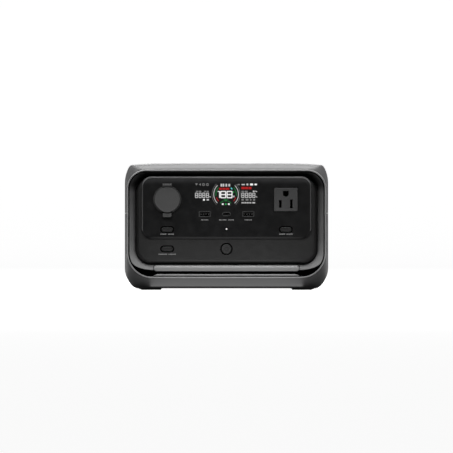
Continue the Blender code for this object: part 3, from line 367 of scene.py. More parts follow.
def add_rings(bm, rings, stand="Y", closed_rows=False):
    """Rings of (level, outline): the outline lies across the axis named by stand, at that level on it."""
    def put(level, across, up):
        place = {"Y": (across, level, up), "Z": (across, up, level), "X": (level, across, up)}[stand]
        return bm.verts.new(Vector(place) * MM)
    rows = [[put(level, a, b) for a, b in points] for level, points in rings]
    skin(bm, rows, closed_rows)


def mesh_from(bm, name):
    bmesh.ops.recalc_face_normals(bm, faces=bm.faces)
    mesh = bpy.data.meshes.new(name)
    bm.to_mesh(mesh)
    bm.free()
    return mesh


def solid(name, *ring_sets, stand="Y", closed_rows=False):
    """A mesh object made of one or more ring sets."""
    bm = bmesh.new()
    for rings in ring_sets:
        add_rings(bm, rings, stand, closed_rows)
    thing = bpy.data.objects.new(name, mesh_from(bm, name))
    bpy.context.scene.collection.objects.link(thing)
    return thing


def prism(shape, start, end, stand="Y"):
    """A plain straight piece between two levels, for cutting or joining."""
    return solid("prism", [(start, shape()), (end, shape())], stand=stand)


def barrel(name, x, y, z, radius):
    """A hinge's barrel, which runs along X between the two values of x, with its ends eased."""
    shape, ease = circle(radius, y, z, 28), 0.2
    rings = [(x[0], shape(-ease)), (x[0] + ease, shape()), (x[1] - ease, shape()), (x[1], shape(-ease))]
    return solid(name, rings, stand="X")


def rounded_rings(shape, back, front, radius, steps=6, back_radius=0.0):
    """A plate from back to front, whose front edge is rounded; front may lie either way from back."""
    way = 1 if front > back else -1
    rings = []
    if back_radius:
        rings += [(back + way * back_radius * gap, shape(-back_radius * (1 - sine)))
                  for sine, gap in quarter_turn(steps)[:-1]]
        rings.append((back + way * back_radius, shape(0.0)))
    else:
        rings.append((back, shape(0.0)))
    rings += [(front - way * radius * (1 - sine), shape(-radius * gap)) for sine, gap in quarter_turn(steps)]
    return rings


def hole_rings(shape, face, deep, rim, ledge=None):
    """A cutter that goes in from the plane face towards +Y, and leaves a rounded edge round its mouth.

    ledge is (depth, grow): a first, wider stretch of that depth, as round a button.
    """
    wide = ledge[1] if ledge else 0.0
    rings = [(face - 3.0, shape(wide + rim)), (face, shape(wide + rim))]
    rings += [(face + rim * gap, shape(wide + rim * (1 - sine))) for sine, gap in quarter_turn(4, 1)]
    if ledge:
        rings += [(face + ledge[0], shape(wide)), (face + ledge[0], shape(0.0))]
    return rings + [(deep, shape(0.0))]


def combine(thing, others, operation="DIFFERENCE"):
    """Apply a Boolean with each of the others, and drop them."""
    for other in others:
        step = thing.modifiers.new("cut", "BOOLEAN")
        step.operation = operation
        step.solver = "EXACT"
        step.object = other
    bpy.context.view_layer.update()
    evaluated = thing.evaluated_get(bpy.context.evaluated_depsgraph_get())
    made = bpy.data.meshes.new_from_object(evaluated)
    thing.modifiers.clear()
    thing.data = made
    for other in others:
        bpy.data.objects.remove(other)
    return thing


def dress(thing, kind, body="case", replaces=(), angle=32.0, weighted=True):
    """Give a finished piece its material, smoothing and body, and hide the CAD parts it replaces."""
    thing.data.materials.clear()
    thing.data.materials.append(MATERIALS[kind])
    thing.data.shade_smooth()
    thing.data.set_sharp_from_angle(angle=math.radians(angle))
    if weighted:
        step = thing.modifiers.new("normals", "WEIGHTED_NORMAL")
        step.keep_sharp = True
    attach(thing, body)
    if replaces:
        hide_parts(*([replaces] if isinstance(replaces, str) else replaces))
    return thing


def block(name, x, y, z, radius=0.3):
    """A box with rounded edges."""
    bm = bmesh.new()
    bmesh.ops.create_cube(bm, size=1.0)
    size = Vector((x[1] - x[0], y[1] - y[0], z[1] - z[0])) * MM
    middle = Vector((x[0] + x[1], y[0] + y[1], z[0] + z[1])) * MM / 2
    bmesh.ops.transform(bm, matrix=Matrix.LocRotScale(middle, None, size), verts=bm.verts)
    if radius:
        bmesh.ops.bevel(bm, geom=bm.edges[:], offset=radius * MM, segments=3, profile=0.5, affect="EDGES")
    thing = bpy.data.objects.new(name, mesh_from(bm, name))
    bpy.context.scene.collection.objects.link(thing)
    return thing


# ---- Case -----------------------------------------------------------------------------------------
def body_section(grow=0.0):
    return outline(HALF_WIDTH, FLOOR_Z, TOP_Z, BOTTOM_CORNER, TOP_CORNER, CROWN, grow=grow, ease=EASE)


def lip_section(sizes):
    """The lip's outline; its crown is next to nothing, and gives it as many points as the body's."""
    return outline(**sizes, crown=0.01)


def bead_ring(lip, inside, turn, sunk=0.0):
    """One ring of the lip's rounded front, from 0 degrees at its outside to 180 at its inside."""
    angle = math.radians(turn)
    return FRONT_Y + 0.9 * (1 - math.sin(angle)) + sunk, blend(lip, inside, 0.58 - 0.42 * math.cos(angle))


def case_rings():
    """Round the back rim, along the body, over the front bevel and the lip, and back along the inside."""
    body, lip = body_section(), lip_section(LIP)
    rim = 1.2
    rings = [(REAR_Y - rim * gap, body_section(-rim * (1 - sine))) for sine, gap in quarter_turn(4)]
    rings += [(y, body) for y in (REAR_Y - 12, 20.0, -40.0, FRONT_Y + BEVEL_DEPTH + 8)]
    steps, last = 14, math.radians(BEVEL_TURN)
    start_y, crease_y = FRONT_Y + BEVEL_DEPTH, FRONT_Y + 0.75
    for i in range(steps + 1):
        angle = last * i / steps
        rings.append((start_y + (crease_y - start_y) * math.sin(angle) / math.sin(last),
                      blend(body, lip, (1 - math.cos(angle)) / (1 - math.cos(last)))))
    inside = lip_section(LIP_INSIDE)
    rings += [(crease_y + 0.3, blend(lip, inside, 0.08)), (crease_y, blend(lip, inside, 0.16))]
    rings += [bead_ring(lip, inside, turn) for turn in range(15, 166, 25)]
    back, cavity = FRONT_Y + LIP_DEPTH, body_section(-WALL)
    return rings + [(back, inside), (back + 4, cavity), (REAR_Y, cavity)]


def cutter_box(x, y, z):
    return block("cutter", x, y, z, 0.0)


def make_case():
    for name, way in (("upper_shell", 1), ("lower_shell", -1)):
        shell = solid(f"{name}_skin", case_rings(), closed_rows=True)
        away = sorted((PARTING_Z + way * SEAM / 2, PARTING_Z - way * 200))
        cutters = [cutter_box((-150, 150), (-150, 150), away)]
        if way < 0:
            for side in (-1, 1):
                cutters.append(prism(rounded(56.0, 22.0, 4.0, 0.0, 58.0, 6), side * 105.0, side * 125.0, "X"))
        dress(combine(shell, cutters), "shell", replaces=name, angle=56)


def make_lip_highlight():
    """A pale skin over the bead that rims the front opening: a painted highlight, paler still at the top."""
    lip, inside = lip_section(LIP), lip_section(LIP_INSIDE)
    turns = range(28, 149, 12)
    rings = [bead_ring(lip, inside, turn) for turn in turns]
    rings += [bead_ring(lip, inside, turn, 0.4) for turn in reversed(turns)]
    dress(solid("lip_painted_highlight", rings, closed_rows=True), "edge", angle=60, weighted=False)


def make_feet():
    for side in ("left", "right"):
        for end in ("front", "rear"):
            name = f"foot_{end}_{side}"
            low, high = span(name)
            x, y, _ = centre(name)
            half_x, half_y = (high.x - low.x) / 2, (high.y - low.y) / 2
            lean, height = math.copysign(1.6, x), FLOOR_Z - 0.15
            shape = rounded(half_x, half_y, 4.0, x, y, 8)
            sole = rounded(half_x - 1.7, half_y - 0.6, 3.0, x - lean, y, 8)
            rings = [(height, shape()), (height - 0.25, shape()), (0.4, sole(0.2)), (0.15, sole()),
                     (0.0, sole(-0.4))]
            foot = solid(f"{name}_pad", rings, stand="Z")
            grooves = [block("groove", (x - 20, x + 20), (y + step - 0.6, y + step + 0.6), (-1, 0.5), 0.0)
                       for step in (-7.5, -2.5, 2.5, 7.5)]
            dress(combine(foot, grooves), "foot", replaces=name)


# ---- Front ----------------------------------------------------------------------------------------
def band_outline(grow=0.0):
    """The band's outer edge: it follows the lip, and rises off it along an ellipse below."""
    points = outline(**BAND_OUTSIDE, grow=grow)
    x, z, across, up, degrees = BAND_CHIN
    across, up = across + grow, up + grow
    steps = STEPS - 6
    turns = [math.radians(degrees * i / steps) for i in range(steps + 1)]
    chin = [(x + across * math.sin(turn), z - up * math.cos(turn)) for turn in turns]
    radius = BAND_OUTSIDE["bottom"][0] + grow
    lip_x = BAND_OUTSIDE["half"] + grow - radius
    lip_z = BAND_OUTSIDE["low"] - grow + radius
    join_angle = math.asin((lip_z - chin[-1][1]) / radius)
    for i in range(5, -1, -1):
        angle = join_angle * i / 6
        chin.append((lip_x + radius * math.cos(angle), lip_z - radius * math.sin(angle)))
    count = len(chin)
    return chin + points[count:-count] + mirrored(chin)


def make_band():
    inside = outline(**BAND_INSIDE)
    outer_y, back_y = BAND_LOW.y, BAND_HIGH.y
    edge = 0.7
    rings = [(back_y, band_outline()), (outer_y + edge, band_outline())]
    rings += [(outer_y + edge * (1 - sine), band_outline(-edge * gap)) for sine, gap in quarter_turn(4, 1)]
    start = band_outline(-edge)
    steps = 8
    for i in range(1, steps + 1):
        share = i / steps
        rings.append((outer_y + (BAND_INNER_Y - outer_y) * share ** 1.15, blend(start, inside, share)))
    rings.append((back_y, inside))
    band = solid("front_band", rings, closed_rows=True)
    lens_low, lens_high = span("light_lens")
    height = lens_high.z - lens_low.z
    bay = pill(lens_high.x - lens_low.x, height, 0.0, centre("light_lens")[2])
    below = cutter_box((lens_low.x + height / 2, lens_high.x - height / 2), (-125, BAND_INNER_Y - 0.2),
                       (10, 26))
    combine(band, [solid("cutter", [(-125, bay(0.75)), (BAND_INNER_Y - 0.2, bay(0.75))]), below])
    dress(band, "band", replaces="front_bezel", angle=34)

    # The back of the groove and the seal across it are painted shade, a near-black sheet where the groove
    # lies in shade.
    apron_shape = outline(**LIP_INSIDE, grow=-0.5)
    apron = solid("groove_back", [(BAND_INNER_Y - 0.1, apron_shape), (back_y - 0.2, apron_shape)])
    combine(apron, [cutter_box((-130, 130), (-120, -80), (27.5, 160))])
    dress(apron, "painted_shade")
    wall, rim = outline(**LIP_INSIDE, grow=-0.06), outline(**BAND_OUTSIDE, grow=0.06)
    near, far = FRONT_Y + 10.0, FRONT_Y + 11.0
    dress(solid("groove_seal", [(near, wall), (near, rim), (far, rim), (far, wall)], closed_rows=True),
          "painted_shade")
    make_groove_reflection()


def make_groove_reflection():
    """A pale strip, with tapered ends, that runs under the light just inside the lip: a painted reflection of
    the light bar in the groove.
    """
    half, low, high, front, back = 83.8, 16.7, 18.4, -114.0, -111.8
    profile = [(front, low), (front, 0.42), (front + 0.35, 0.62), (front + 0.9, 0.84), (front + 1.6, 1.0),
               (back, 1.0), (back, low)]
    sections = [(-half, 0.05), (-half + 2.0, 0.5), (-half + 4.5, 1.0), (half - 4.5, 1.0), (half - 2.0, 0.5),
                (half, 0.05)]
    rows = []
    for x, scale in sections:
        ring = [(y, low if rise == low else low + (high - low) * scale * rise) for y, rise in profile]
        rows.append((x, ring))
    dress(solid("groove_reflection", rows, stand="X"), "painted_reflection", angle=50)


def make_light():
    """The diffuser: its section is upright at its foot and rolls back at its top, and its ends are round."""
    low, high = span("light_lens")
    radius, middle = (high.z - low.z) / 2, (low.z + high.z) / 2
    half, back = high.x, high.y
    reach = [half - radius + radius * math.sin(math.radians(turn)) for turn in range(0, 91, 9)]
    reach[-1] = half - 0.02
    stations = [-x for x in reversed(reach)] + [-40.0, 0.0, 40.0] + reach
    rings = []
    for x in stations:
        beyond = max(abs(x) - (half - radius), 0.0)
        share = math.sqrt(max(radius * radius - beyond * beyond, 0.004)) / radius
        ring = [(back, middle - radius * share), (back, middle + radius * share)]
        for k in range(17):
            turn = k / 16
            z = middle + radius * share * (1 - 2 * turn)
            roll = math.sqrt(max(1 - max(1 - 2 * turn, 0.0) ** 2.6, 0.0))
            foot = math.sqrt(max(1 - max(2 * turn - 1, 0.0) ** 8, 0.0))
            front = low.y + 3.6 * (1 - roll) + 0.9 * (1 - foot) + 1.2 * (1 - share) + 1.2 * (1 - turn)
            ring.append((min(front, back - 0.3), z))
        rings.append((x, ring))
    lens = solid("light_diffuser", rings, stand="X")
    dress(lens, "lens", replaces="light_lens", angle=50, weighted=False)


def button_shape(name, inset=0.0):
    x, _, z = centre(name)
    if BUTTONS[name][1]:
        return circle(POWER_R - inset, x, z), x, z
    return pill(BUTTON_SIZE[0] - 2.2 * inset, BUTTON_SIZE[1] - 1.4 * inset, x, z), x, z


def button_cutters(panel, face, back):
    ledge = (0.9, BUTTON_FRAME - 0.25)
    return [solid("cutter", hole_rings(button_shape(name)[0], face, back + 1, 0.25, ledge=ledge))
            for name, (owner, _) in BUTTONS.items() if owner == panel]


def make_pod():
    shape = grown(POD)
    pod = solid("front_pod", rounded_rings(shape, POD_HIGH.y, POD_Y, POD_ROUND, 10))
    hollow = solid("cutter", [(POD_Y + POD_SKIN, shape(-2.4)), (POD_HIGH.y + 5, shape(-2.4))])
    window = cutter_box((-94, 94), (-120, -80), (63, 127))
    flange_y = BAND_HIGH.y + 0.3
    flange = solid("flange", [(flange_y, shape(4.5)), (flange_y + 1.8, shape(4.5))])
    combine(pod, [flange], "UNION")
    combine(pod, [hollow, window] + button_cutters("front_panel", POD_Y, POD_Y + POD_SKIN))
    dress(pod, "pod", replaces="front_panel", angle=30)


def fascia_ring(side, top):
    """The fascia's outline, drawn in by side at its sides and foot, and by top at its top."""
    corner = 11.5 - 0.75 * side
    return outline(FASCIA["half"] - side, FASCIA["low"] + side, FASCIA["high"] - top,
                   (corner, corner, 90.0), (corner, corner, 90.0))


def make_fascia():
    """A plate with a rounded rim, and above its flat face a long slope up to the rim."""
    rim, rise, side_slope, top_slope = 1.3, 1.25, 1.1, 7.2
    last = math.pi / 2 * 0.92     # the rim turns through a little less than a right angle
    rings = [(FACE_BACK, fascia_ring(0.0, 0.0))]
    for i in range(7):
        angle = last * i / 6
        inset = rim * (1 - math.cos(angle))
        rings.append((FACE_BACK - 0.1 - rise * math.sin(angle), fascia_ring(inset, inset)))
    start_y, inset = rings[-1][0], rim * (1 - math.cos(last))
    for i in range(1, 9):
        share = i / 8
        rings.append((start_y + (FACE_Y - start_y) * math.sin(math.pi / 2 * share),
                      fascia_ring(inset + side_slope * share, inset + top_slope * share)))
    fascia = solid("socket_fascia", rings)
    crest_y = min(y for y, _ in rings) - 0.05
    # A painted highlight, a pale line along the rim's crest, runs over the top and down the sides, paler at
    # the top, and stops above the foot.
    strip = [(crest_y + 1.3, fascia_ring(0.85, 0.35)), (crest_y + 0.25, fascia_ring(0.85, 0.35)),
             (crest_y, fascia_ring(1.05, 0.60)), (crest_y, fascia_ring(1.60, 1.90)),
             (crest_y + 0.25, fascia_ring(1.80, 2.20)), (crest_y + 1.3, fascia_ring(1.80, 2.20))]
    foot = cutter_box((-130, 130), (-130, -80), (50, 68))
    dress(combine(solid("fascia_painted_highlight", strip, closed_rows=True), [foot]), "fascia_highlight", angle=60,
          weighted=False)
    cutters = button_cutters("socket_panel", FACE_Y, FACE_BACK)
    for shape in (circle(13.8, -SOCKET_X, SOCKET_Z), circle(1.3, 0.0, 70.2, 20),
                  rounded(13.7, 13.7, 1.3, SOCKET_X, SOCKET_Z), pill(10.2, 5.1, 0.0, PORT_Z),
                  rounded(7.0, 3.3, 0.8, -USB_A_X, PORT_Z), rounded(7.0, 3.3, 0.8, USB_A_X, PORT_Z)):
        cutters.append(solid("cutter", hole_rings(shape, FACE_Y, FACE_BACK + 1, 0.2)))
    dress(combine(fascia, cutters), "fascia", replaces="socket_panel", angle=30)
    pipe_front = span("status_light_pipe")[0].y - 0.06
    eye = circle(0.9, 0.0, 70.2, 28)
    rings = [(FACE_Y + 0.2, eye(0.36)), (pipe_front, eye(0.36)), (pipe_front, eye(0.05)),
             (pipe_front + 0.04, eye())]
    # The ring round the light's pipe is painted shade.
    dress(solid("status_light_ring", rings + [(FACE_Y + 0.2, eye())], closed_rows=True), "painted_shade")


def make_buttons():
    for name, (panel, is_round) in BUTTONS.items():
        low, high = span(name)
        shape, x, z = button_shape(name)
        front = low.y
        key = button_shape(name, 0.4)[0]
        rings = [(high.y, key(-1.0)), (front + 2.2, key(-1.0)), (front + 2.2, key(0.0))]
        rings += rounded_rings(key, front + 2.2, front, 0.6, 6)[1:]
        rings += [(front, key(-1.0)), (front + 0.12, key(-1.6)), (front + 0.16, key(-2.1))]
        dress(solid(f"{name}_cap", rings), "ring" if is_round else "button", body=name, replaces=name,
              angle=40)
        if is_round:
            width, sunk = 0.42, front + 0.14
            sign = [arc_bar(x, z, 1.9, width, 120, 420, sunk)]
            sign.append(stroke((x, z + 0.7), (x, z + 2.3), width, sunk))
            dress(solid("power_sign", *sign), "faint", body=name, angle=40, weighted=False)
        face = FACE_Y if panel == "socket_panel" else POD_Y
        # The liner of the recess round a button is painted shade.
        liner = [(face + 0.9, shape(0.05)), (face + 0.9, shape(BUTTON_FRAME - 0.26)),
                 (face + 0.06, shape(BUTTON_FRAME - 0.26)), (face + 0.06, shape(BUTTON_FRAME - 0.36)),
                 (face + 0.8, shape(BUTTON_FRAME - 0.38)), (face + 0.8, shape(0.06))]
        dress(solid(f"{name}_recess", liner, closed_rows=True), "painted_shade")


def stroke(start, end, width, face, rise=0.06):
    """A flat printed bar between two (x, z) points, standing on the plane y = face."""
    along = Vector((end[0] - start[0], end[1] - start[1])).normalized() * width / 2
    side = Vector((-along.y, along.x))
    a, b = Vector(start) - along * 0.4, Vector(end) + along * 0.4
    points = [tuple(a - side), tuple(b - side), tuple(b + side), tuple(a + side)]
    return [(face, points), (face - rise, points)]


def arc_bar(x, z, radius, width, start, stop, face, rise=0.06):
    """A curved bar, from the angle start to the angle stop, in degrees."""
    steps = max(4, int(abs(stop - start) / 6))
    turns = [math.radians(start + (stop - start) * i / steps) for i in range(steps + 1)]
    outer, inner = [[(x + reach * math.cos(turn), z + reach * math.sin(turn)) for turn in turns]
                    for reach in (radius + width / 2, radius - width / 2)]
    points = outer + inner[::-1]
    return [(face, points), (face - rise, points)]


def label_bars(x, z, width, face):
    """A row of small bars that stands for a printed label."""
    pitch, bar, height = 1.45, 0.95, 1.15
    count = max(2, int(width / pitch))
    start = x - (count - 1) * pitch / 2
    bars = []
    for i in range(count):
        if count > 8 and i == count // 2:
            continue
        middle = start + i * pitch
        points = [(middle - bar / 2, z - height / 2), (middle + bar / 2, z - height / 2),
                  (middle + bar / 2, z + height / 2), (middle - bar / 2, z + height / 2)]
        bars.append([(face, points), (face - 0.05, points)])
    return bars


def make_labels():
    upper, lower = [], []
    for x in (-USB_A_X, USB_A_X):
        upper += label_bars(x, 80.7, 9.0, FACE_Y)
    upper += label_bars(0.0, 80.7, 18.8, FACE_Y)
    for x in (-SOCKET_X, SOCKET_X):
        upper += label_bars(x, 64.3, 16.6, FACE_Y)
    lower += label_bars(-SOCKET_X, 41.2, 21.0, POD_Y)
    dress(solid("port_labels", *upper), "mark", weighted=False)
    dress(solid("light_label", *lower), "mark", weighted=False)


# ---- Display --------------------------------------------------------------------------------------
SEGMENTS = {"1": "bc", "8": "abcdefg"}


def digit(figure, x, z, width, height, thick, face):
    """A seven-segment figure about (x, z)."""
    w, h = width / 2 - thick / 2, height / 2 - thick / 2
    ends = {"a": ((-w, h), (w, h)), "b": ((w, h), (w, 0)), "c": ((w, 0), (w, -h)), "d": ((-w, -h), (w, -h)),
            "e": ((-w, -h), (-w, 0)), "f": ((-w, 0), (-w, h)), "g": ((-w, 0), (w, 0))}
    bars = []
    gap = thick * 0.12
    for key in SEGMENTS[figure]:
        (ax, az), (bx, bz) = ends[key]
        way = Vector((bx - ax, bz - az)).normalized() * gap
        start, end = (x + ax + way.x, z + az + way.y), (x + bx - way.x, z + bz - way.y)
        bars.append(stroke(start, end, thick, face, 0.08))
    return bars


def tile(x, z, width, height, face, corner=0.3):
    shape = rounded(width / 2, height / 2, corner, x, z, 4)
    return [(face, shape()), (face - 0.08, shape())]


def tile_row(z, height, face, marks):
    """Tiles side by side; each mark is a tile's (x, width)."""
    return [tile(x, z, width, height, face) for x, width in marks]


def make_display():
    """The lit figures and signs, which show through the smoked panel."""
    face = FACE_Y
    middle_x, middle_z = -0.45, 110.1
    white, soft, dim, green, dark_green, red, cyan = [], [], [], [], [], [], []

    for x, figure in ((-10.7, "1"), (-3.75, "8"), (3.5, "8")):
        white += digit(figure, x, 109.8, 6.8, 8.4, 1.2, face)
    white.append(stroke((-9.9, 113.4), (-8.2, 113.4), 1.0, face))
    for side in (0, 180):
        soft.append(arc_bar(middle_x, middle_z, 14.2, 0.75, side - 46, side + 45, face))
        dim.append(arc_bar(middle_x, middle_z, 16.2, 0.32, side - 47, side + 47, face))
        upper = (-8, 42) if side == 0 else (138, 188)
        lower = (-42, -18) if side == 0 else (198, 222)
        dark_green.append(arc_bar(middle_x, middle_z, 11.75, 1.0, *upper, face))
        red.append(arc_bar(middle_x, middle_z, 11.6, 0.8, *lower, face))
    soft += [tile(x, 120.6, 1.9, 3.3, face) for x in (-5.9, -3.5, -0.2)] + [tile(3.2, 120.6, 2.0, 3.0, face)]
    red += tile_row(116.4, 2.3, face, ((-6.9, 3.2), (-2.9, 3.4), (1.2, 3.8)))
    drop = [(4.6, 117.6), (5.6, 117.8), (6.9, 116.6), (6.7, 115.7), (5.7, 115.8)]
    cyan.append([(face, drop[::-1]), (face - 0.08, drop[::-1])])
    green.append(tile(8.0, 112.7, 1.4, 1.5, face))
    soft.append(tile(8.4, 107.6, 1.6, 1.9, face))
    wedge = [(-3.6, 104.7), (1.9, 104.7), (0.2, 101.9), (-1.9, 101.9)]
    dark_green.append([(face, wedge[::-1]), (face - 0.08, wedge[::-1])])
    dark_green += [arc_bar(-0.9, 95.2, 7.7, 0.9, 37, 72, face), arc_bar(-0.9, 95.2, 7.7, 0.9, 108, 143, face)]
    white += [tile(x, 98.8, 2.0, 1.9, face) for x in (-4.3, 2.7)]
    green.append(tile(-0.8, 98.8, 1.7, 1.9, face))

    for start in (-34.5, 18.8):
        for i in range(4):
            soft += digit("8", start + i * 4.2, 108.9, 3.3, 6.0, 0.75, face)
        soft.append(stroke((start + 14.9, 107.6), (start + 16.3, 106.9), 0.8, face))
    for points in (((-36.0, 122.6), (-33.0, 122.6), (-34.5, 120.2)),
                   ((-31.6, 121.4), (-29.6, 122.9), (-29.6, 119.9))):
        dim.append([(face, points), (face - 0.06, points)])
    dim += [arc_bar(x, 121.3, 1.15, 0.75, 0, 350, face) for x in (-26.4, -21.9)]
    dim += tile_row(113.5, 1.2, face, ((-33.8, 2.6), (-30.4, 3.0), (-24.6, 2.2), (-21.6, 2.6), (18.6, 2.8),
                                       (22.6, 3.6)))
    soft += [tile(31.3, 113.5, 2.0, 1.6, face), stroke((33.2, 113.8), (35.0, 113.0), 0.9, face)]
    white += [tile(-25.9, 103.8, 2.1, 2.1, face), tile(28.8, 121.4, 3.5, 2.3, face, 0.7),
              tile(33.6, 121.4, 2.9, 2.0, face, 0.7)]
    soft += [tile(-21.5, 103.8, 2.7, 1.7, face), tile(24.0, 121.4, 2.3, 2.4, face, 1.1),
             tile(19.2, 121.3, 3.8, 1.4, face)]
    dim.append(tile(14.0, 121.3, 2.6, 1.4, face))
    red += tile_row(117.3, 2.7, face, ((19.0, 4.0), (23.0, 3.4), (27.0, 3.4)))
    dim += tile_row(103.8, 1.7, face, ((18.5, 2.7), (23.6, 3.3), (27.8, 1.7), (31.7, 2.3)))
    soft += tile_row(100.4, 1.5, face, [(18.0 + i * 1.95, 1.4) for i in range(6)] + [(31.3, 3.2)])

    for name, shapes in (("white", white), ("soft", soft), ("dim", dim), ("green", green),
                         ("dark_green", dark_green), ("red", red), ("cyan", cyan)):
        thing = dress(solid(f"display_{name}", *shapes), f"{name}_light", weighted=False)


# ---- Sockets and ports ----------------------------------------------------------------------------
def make_outlet():
    low, high = span("ac_outlet_face")
    half = (high.x - low.x) / 2
    shape = rounded(half, half, 1.1, SOCKET_X, SOCKET_Z)
    front = low.y
    rings = rounded_rings(shape, high.y, front, 0.6, 6)
    rings += [(front, shape(-1.3)), (front + 0.12, shape(-1.5)), (front + 0.12, shape(-2.6))]
    face = solid("mains_outlet", rings)
    blade_x, blade_z = 6.35, 99.0
    slots = [blade_slot(SOCKET_X - blade_x, blade_z, 4.3), blade_slot(SOCKET_X + blade_x, blade_z, 5.0)]
    cutters = [solid("cutter", [(front - 2, slot(0.25)), (front + 0.12, slot(0.25)), (front + 0.4, slot()),
                                (front + 6, slot())]) for slot in slots]
    for side in (-1, 1):
        x = SOCKET_X + side * blade_x
        cutters.append(cutter_box((x - 2.8, x + 2.8), (front + 4, high.y + 3),
                                  (blade_z - 6.5, blade_z + 6.5)))
    cutters.append(solid("cutter", hole_rings(ground_shape, front + 0.12, high.y + 3, 0.35)))
    dress(combine(face, cutters), "socket", replaces="ac_outlet_face")


def blade_slot(x, z, half):
    """A blade's slot, which widens a little towards both ends."""
    def points(grow=0.0):
        shares = [k / 6 for k in range(-6, 7)]
        right = [(x + 1.35 + 0.50 * abs(share) ** 2.5 + grow, z + (half + grow) * share) for share in shares]
        return right + [(2 * x - px, pz) for px, pz in reversed(right)]
    return points


def ground_shape(grow=0.0):
    """The D of the earth hole: flat on top, and round below."""
    radius, middle = 3.3 + grow, 110.5
    arc = [(SOCKET_X + radius * math.cos(math.pi + math.pi * i / 16),
            middle + radius * math.sin(math.pi + math.pi * i / 16)) for i in range(17)]
    return arc + [(SOCKET_X + radius, middle + 3.5 + grow), (SOCKET_X - radius, middle + 3.5 + grow)]


def make_car_socket():
    x, z = -SOCKET_X, SOCKET_Z
    back = span("car_socket_housing")[1].y
    flange_y, flange_back = FACE_Y - 1.7, FACE_Y - 0.3
    ring = circle(15.95, x, z, 72)
    inner = circle(10.5, x, z, 72)
    rings = rounded_rings(ring, flange_back, flange_y, 0.6, 5)[1:]
    wall = circle(13.5, x, z, 72)
    outline_rings = [(flange_y, inner(0.8)), (flange_y + 0.8, inner()), (back - 2.5, inner()),
                     (back - 2.5, circle(2.3, x, z, 72)()), (back, circle(2.3, x, z, 72)()),
                     (back, wall(-0.6)), (back - 0.6, wall()), (flange_back, wall())]
    housing = solid("vehicle_socket", rings + outline_rings + [(flange_back, ring())], closed_rows=True)
    _, pin_y, pin_z = centre("cap_hinge_pin")
    reach = span("cap_hinge_pin")[1].x - x + 0.1
    for end, side in (("left", -1), ("right", 1)):
        near, far = sorted((x + side * 2.75, x + side * reach))
        ear = barrel(f"hinge_ear_{end}", (near, far), pin_y, pin_z, SOCKET_BARREL)
        base = block("base", (near + 0.1, far - 0.1), (pin_y, flange_back), (119.0, pin_z + 1.2), 0.2)
        combine(ear, [base], "UNION")
        combine(ear, [prism(circle(PIN_HOLE, pin_y, pin_z, 20), x - 8, x + 8, "X")])
        dress(ear, "rubber")
    dress(housing, "ring", replaces="car_socket_housing")
    make_cap(x, z, pin_y, pin_z)


def make_cap(x, z, pin_y, pin_z):
    front, back = FACE_Y - 3.5, FACE_Y - 2.0
    disc = circle(14.4, x, z, 72)
    rings = [(back, circle(9.4, x, z, 72)()), (back, disc(-0.4)), (back - 0.3, disc())]
    rings += rounded_rings(disc, back, front, 0.5, 5)[1:]
    rings += [(front, disc(-1.1)), (front + 0.22, disc(-1.6)), (front + 0.22, disc(-6.0)),
              (front + 0.14, disc(-12.0))]
    plug_end = span("car_socket_cap")[1].y
    plug = [(plug_end, circle(7.2, x, z, 72)()), (plug_end, circle(9.0, x, z, 72)()),
            (plug_end - 0.4, circle(9.4, x, z, 72)())]
    cap = solid("socket_cover", plug + rings)
    tab_shape = rounded(5.0, 3.2, 1.2, x, 87.0)
    tab = solid("tab", rounded_rings(tab_shape, back, front, 0.5, 5, 0.2))
    strap = block("strap", (x - 2.6, x + 2.6), (front, back), (116.5, pin_z), 0.25)
    knuckle = barrel("knuckle", (x - 2.6, x + 2.6), pin_y, pin_z, SOCKET_BARREL)
    combine(cap, [tab, strap, knuckle], "UNION")
    near, far = circle(14.75, x, z, 72), circle(16.1, x, z, 72)
    neck_rings = [(front - 1, near()), (front + 0.85, near()), (front + 0.85, far()), (front - 1, far())]
    neck = solid("cutter", neck_rings, closed_rows=True)
    combine(neck, [cutter_box((x - 8, x + 8), (front - 2, back + 2), (z, z + 20))])
    combine(cap, [neck])
    combine(cap, [prism(circle(PIN_HOLE, pin_y, pin_z, 20), x - 6, x + 6, "X")])
    dress(cap, "rubber", body="socket_cap", replaces="car_socket_cap", angle=38)
    grip = [arc_bar(x, 84.3 - 1.2 * i, 3.0, 0.5, 50, 130, front, 0.25) for i in range(2)]
    dress(solid("cover_grip_ribs", *grip), "rubber", body="socket_cap", weighted=False)
    # A near-black floor in the neck groove of the cover: a painted shadow.
    floor = arc_bar(x, z, 15.42, 1.2, 248, 292, front + 0.84, 0.3)
    dress(solid("cover_groove_shadow", floor), "painted_shade", body="socket_cap", weighted=False)


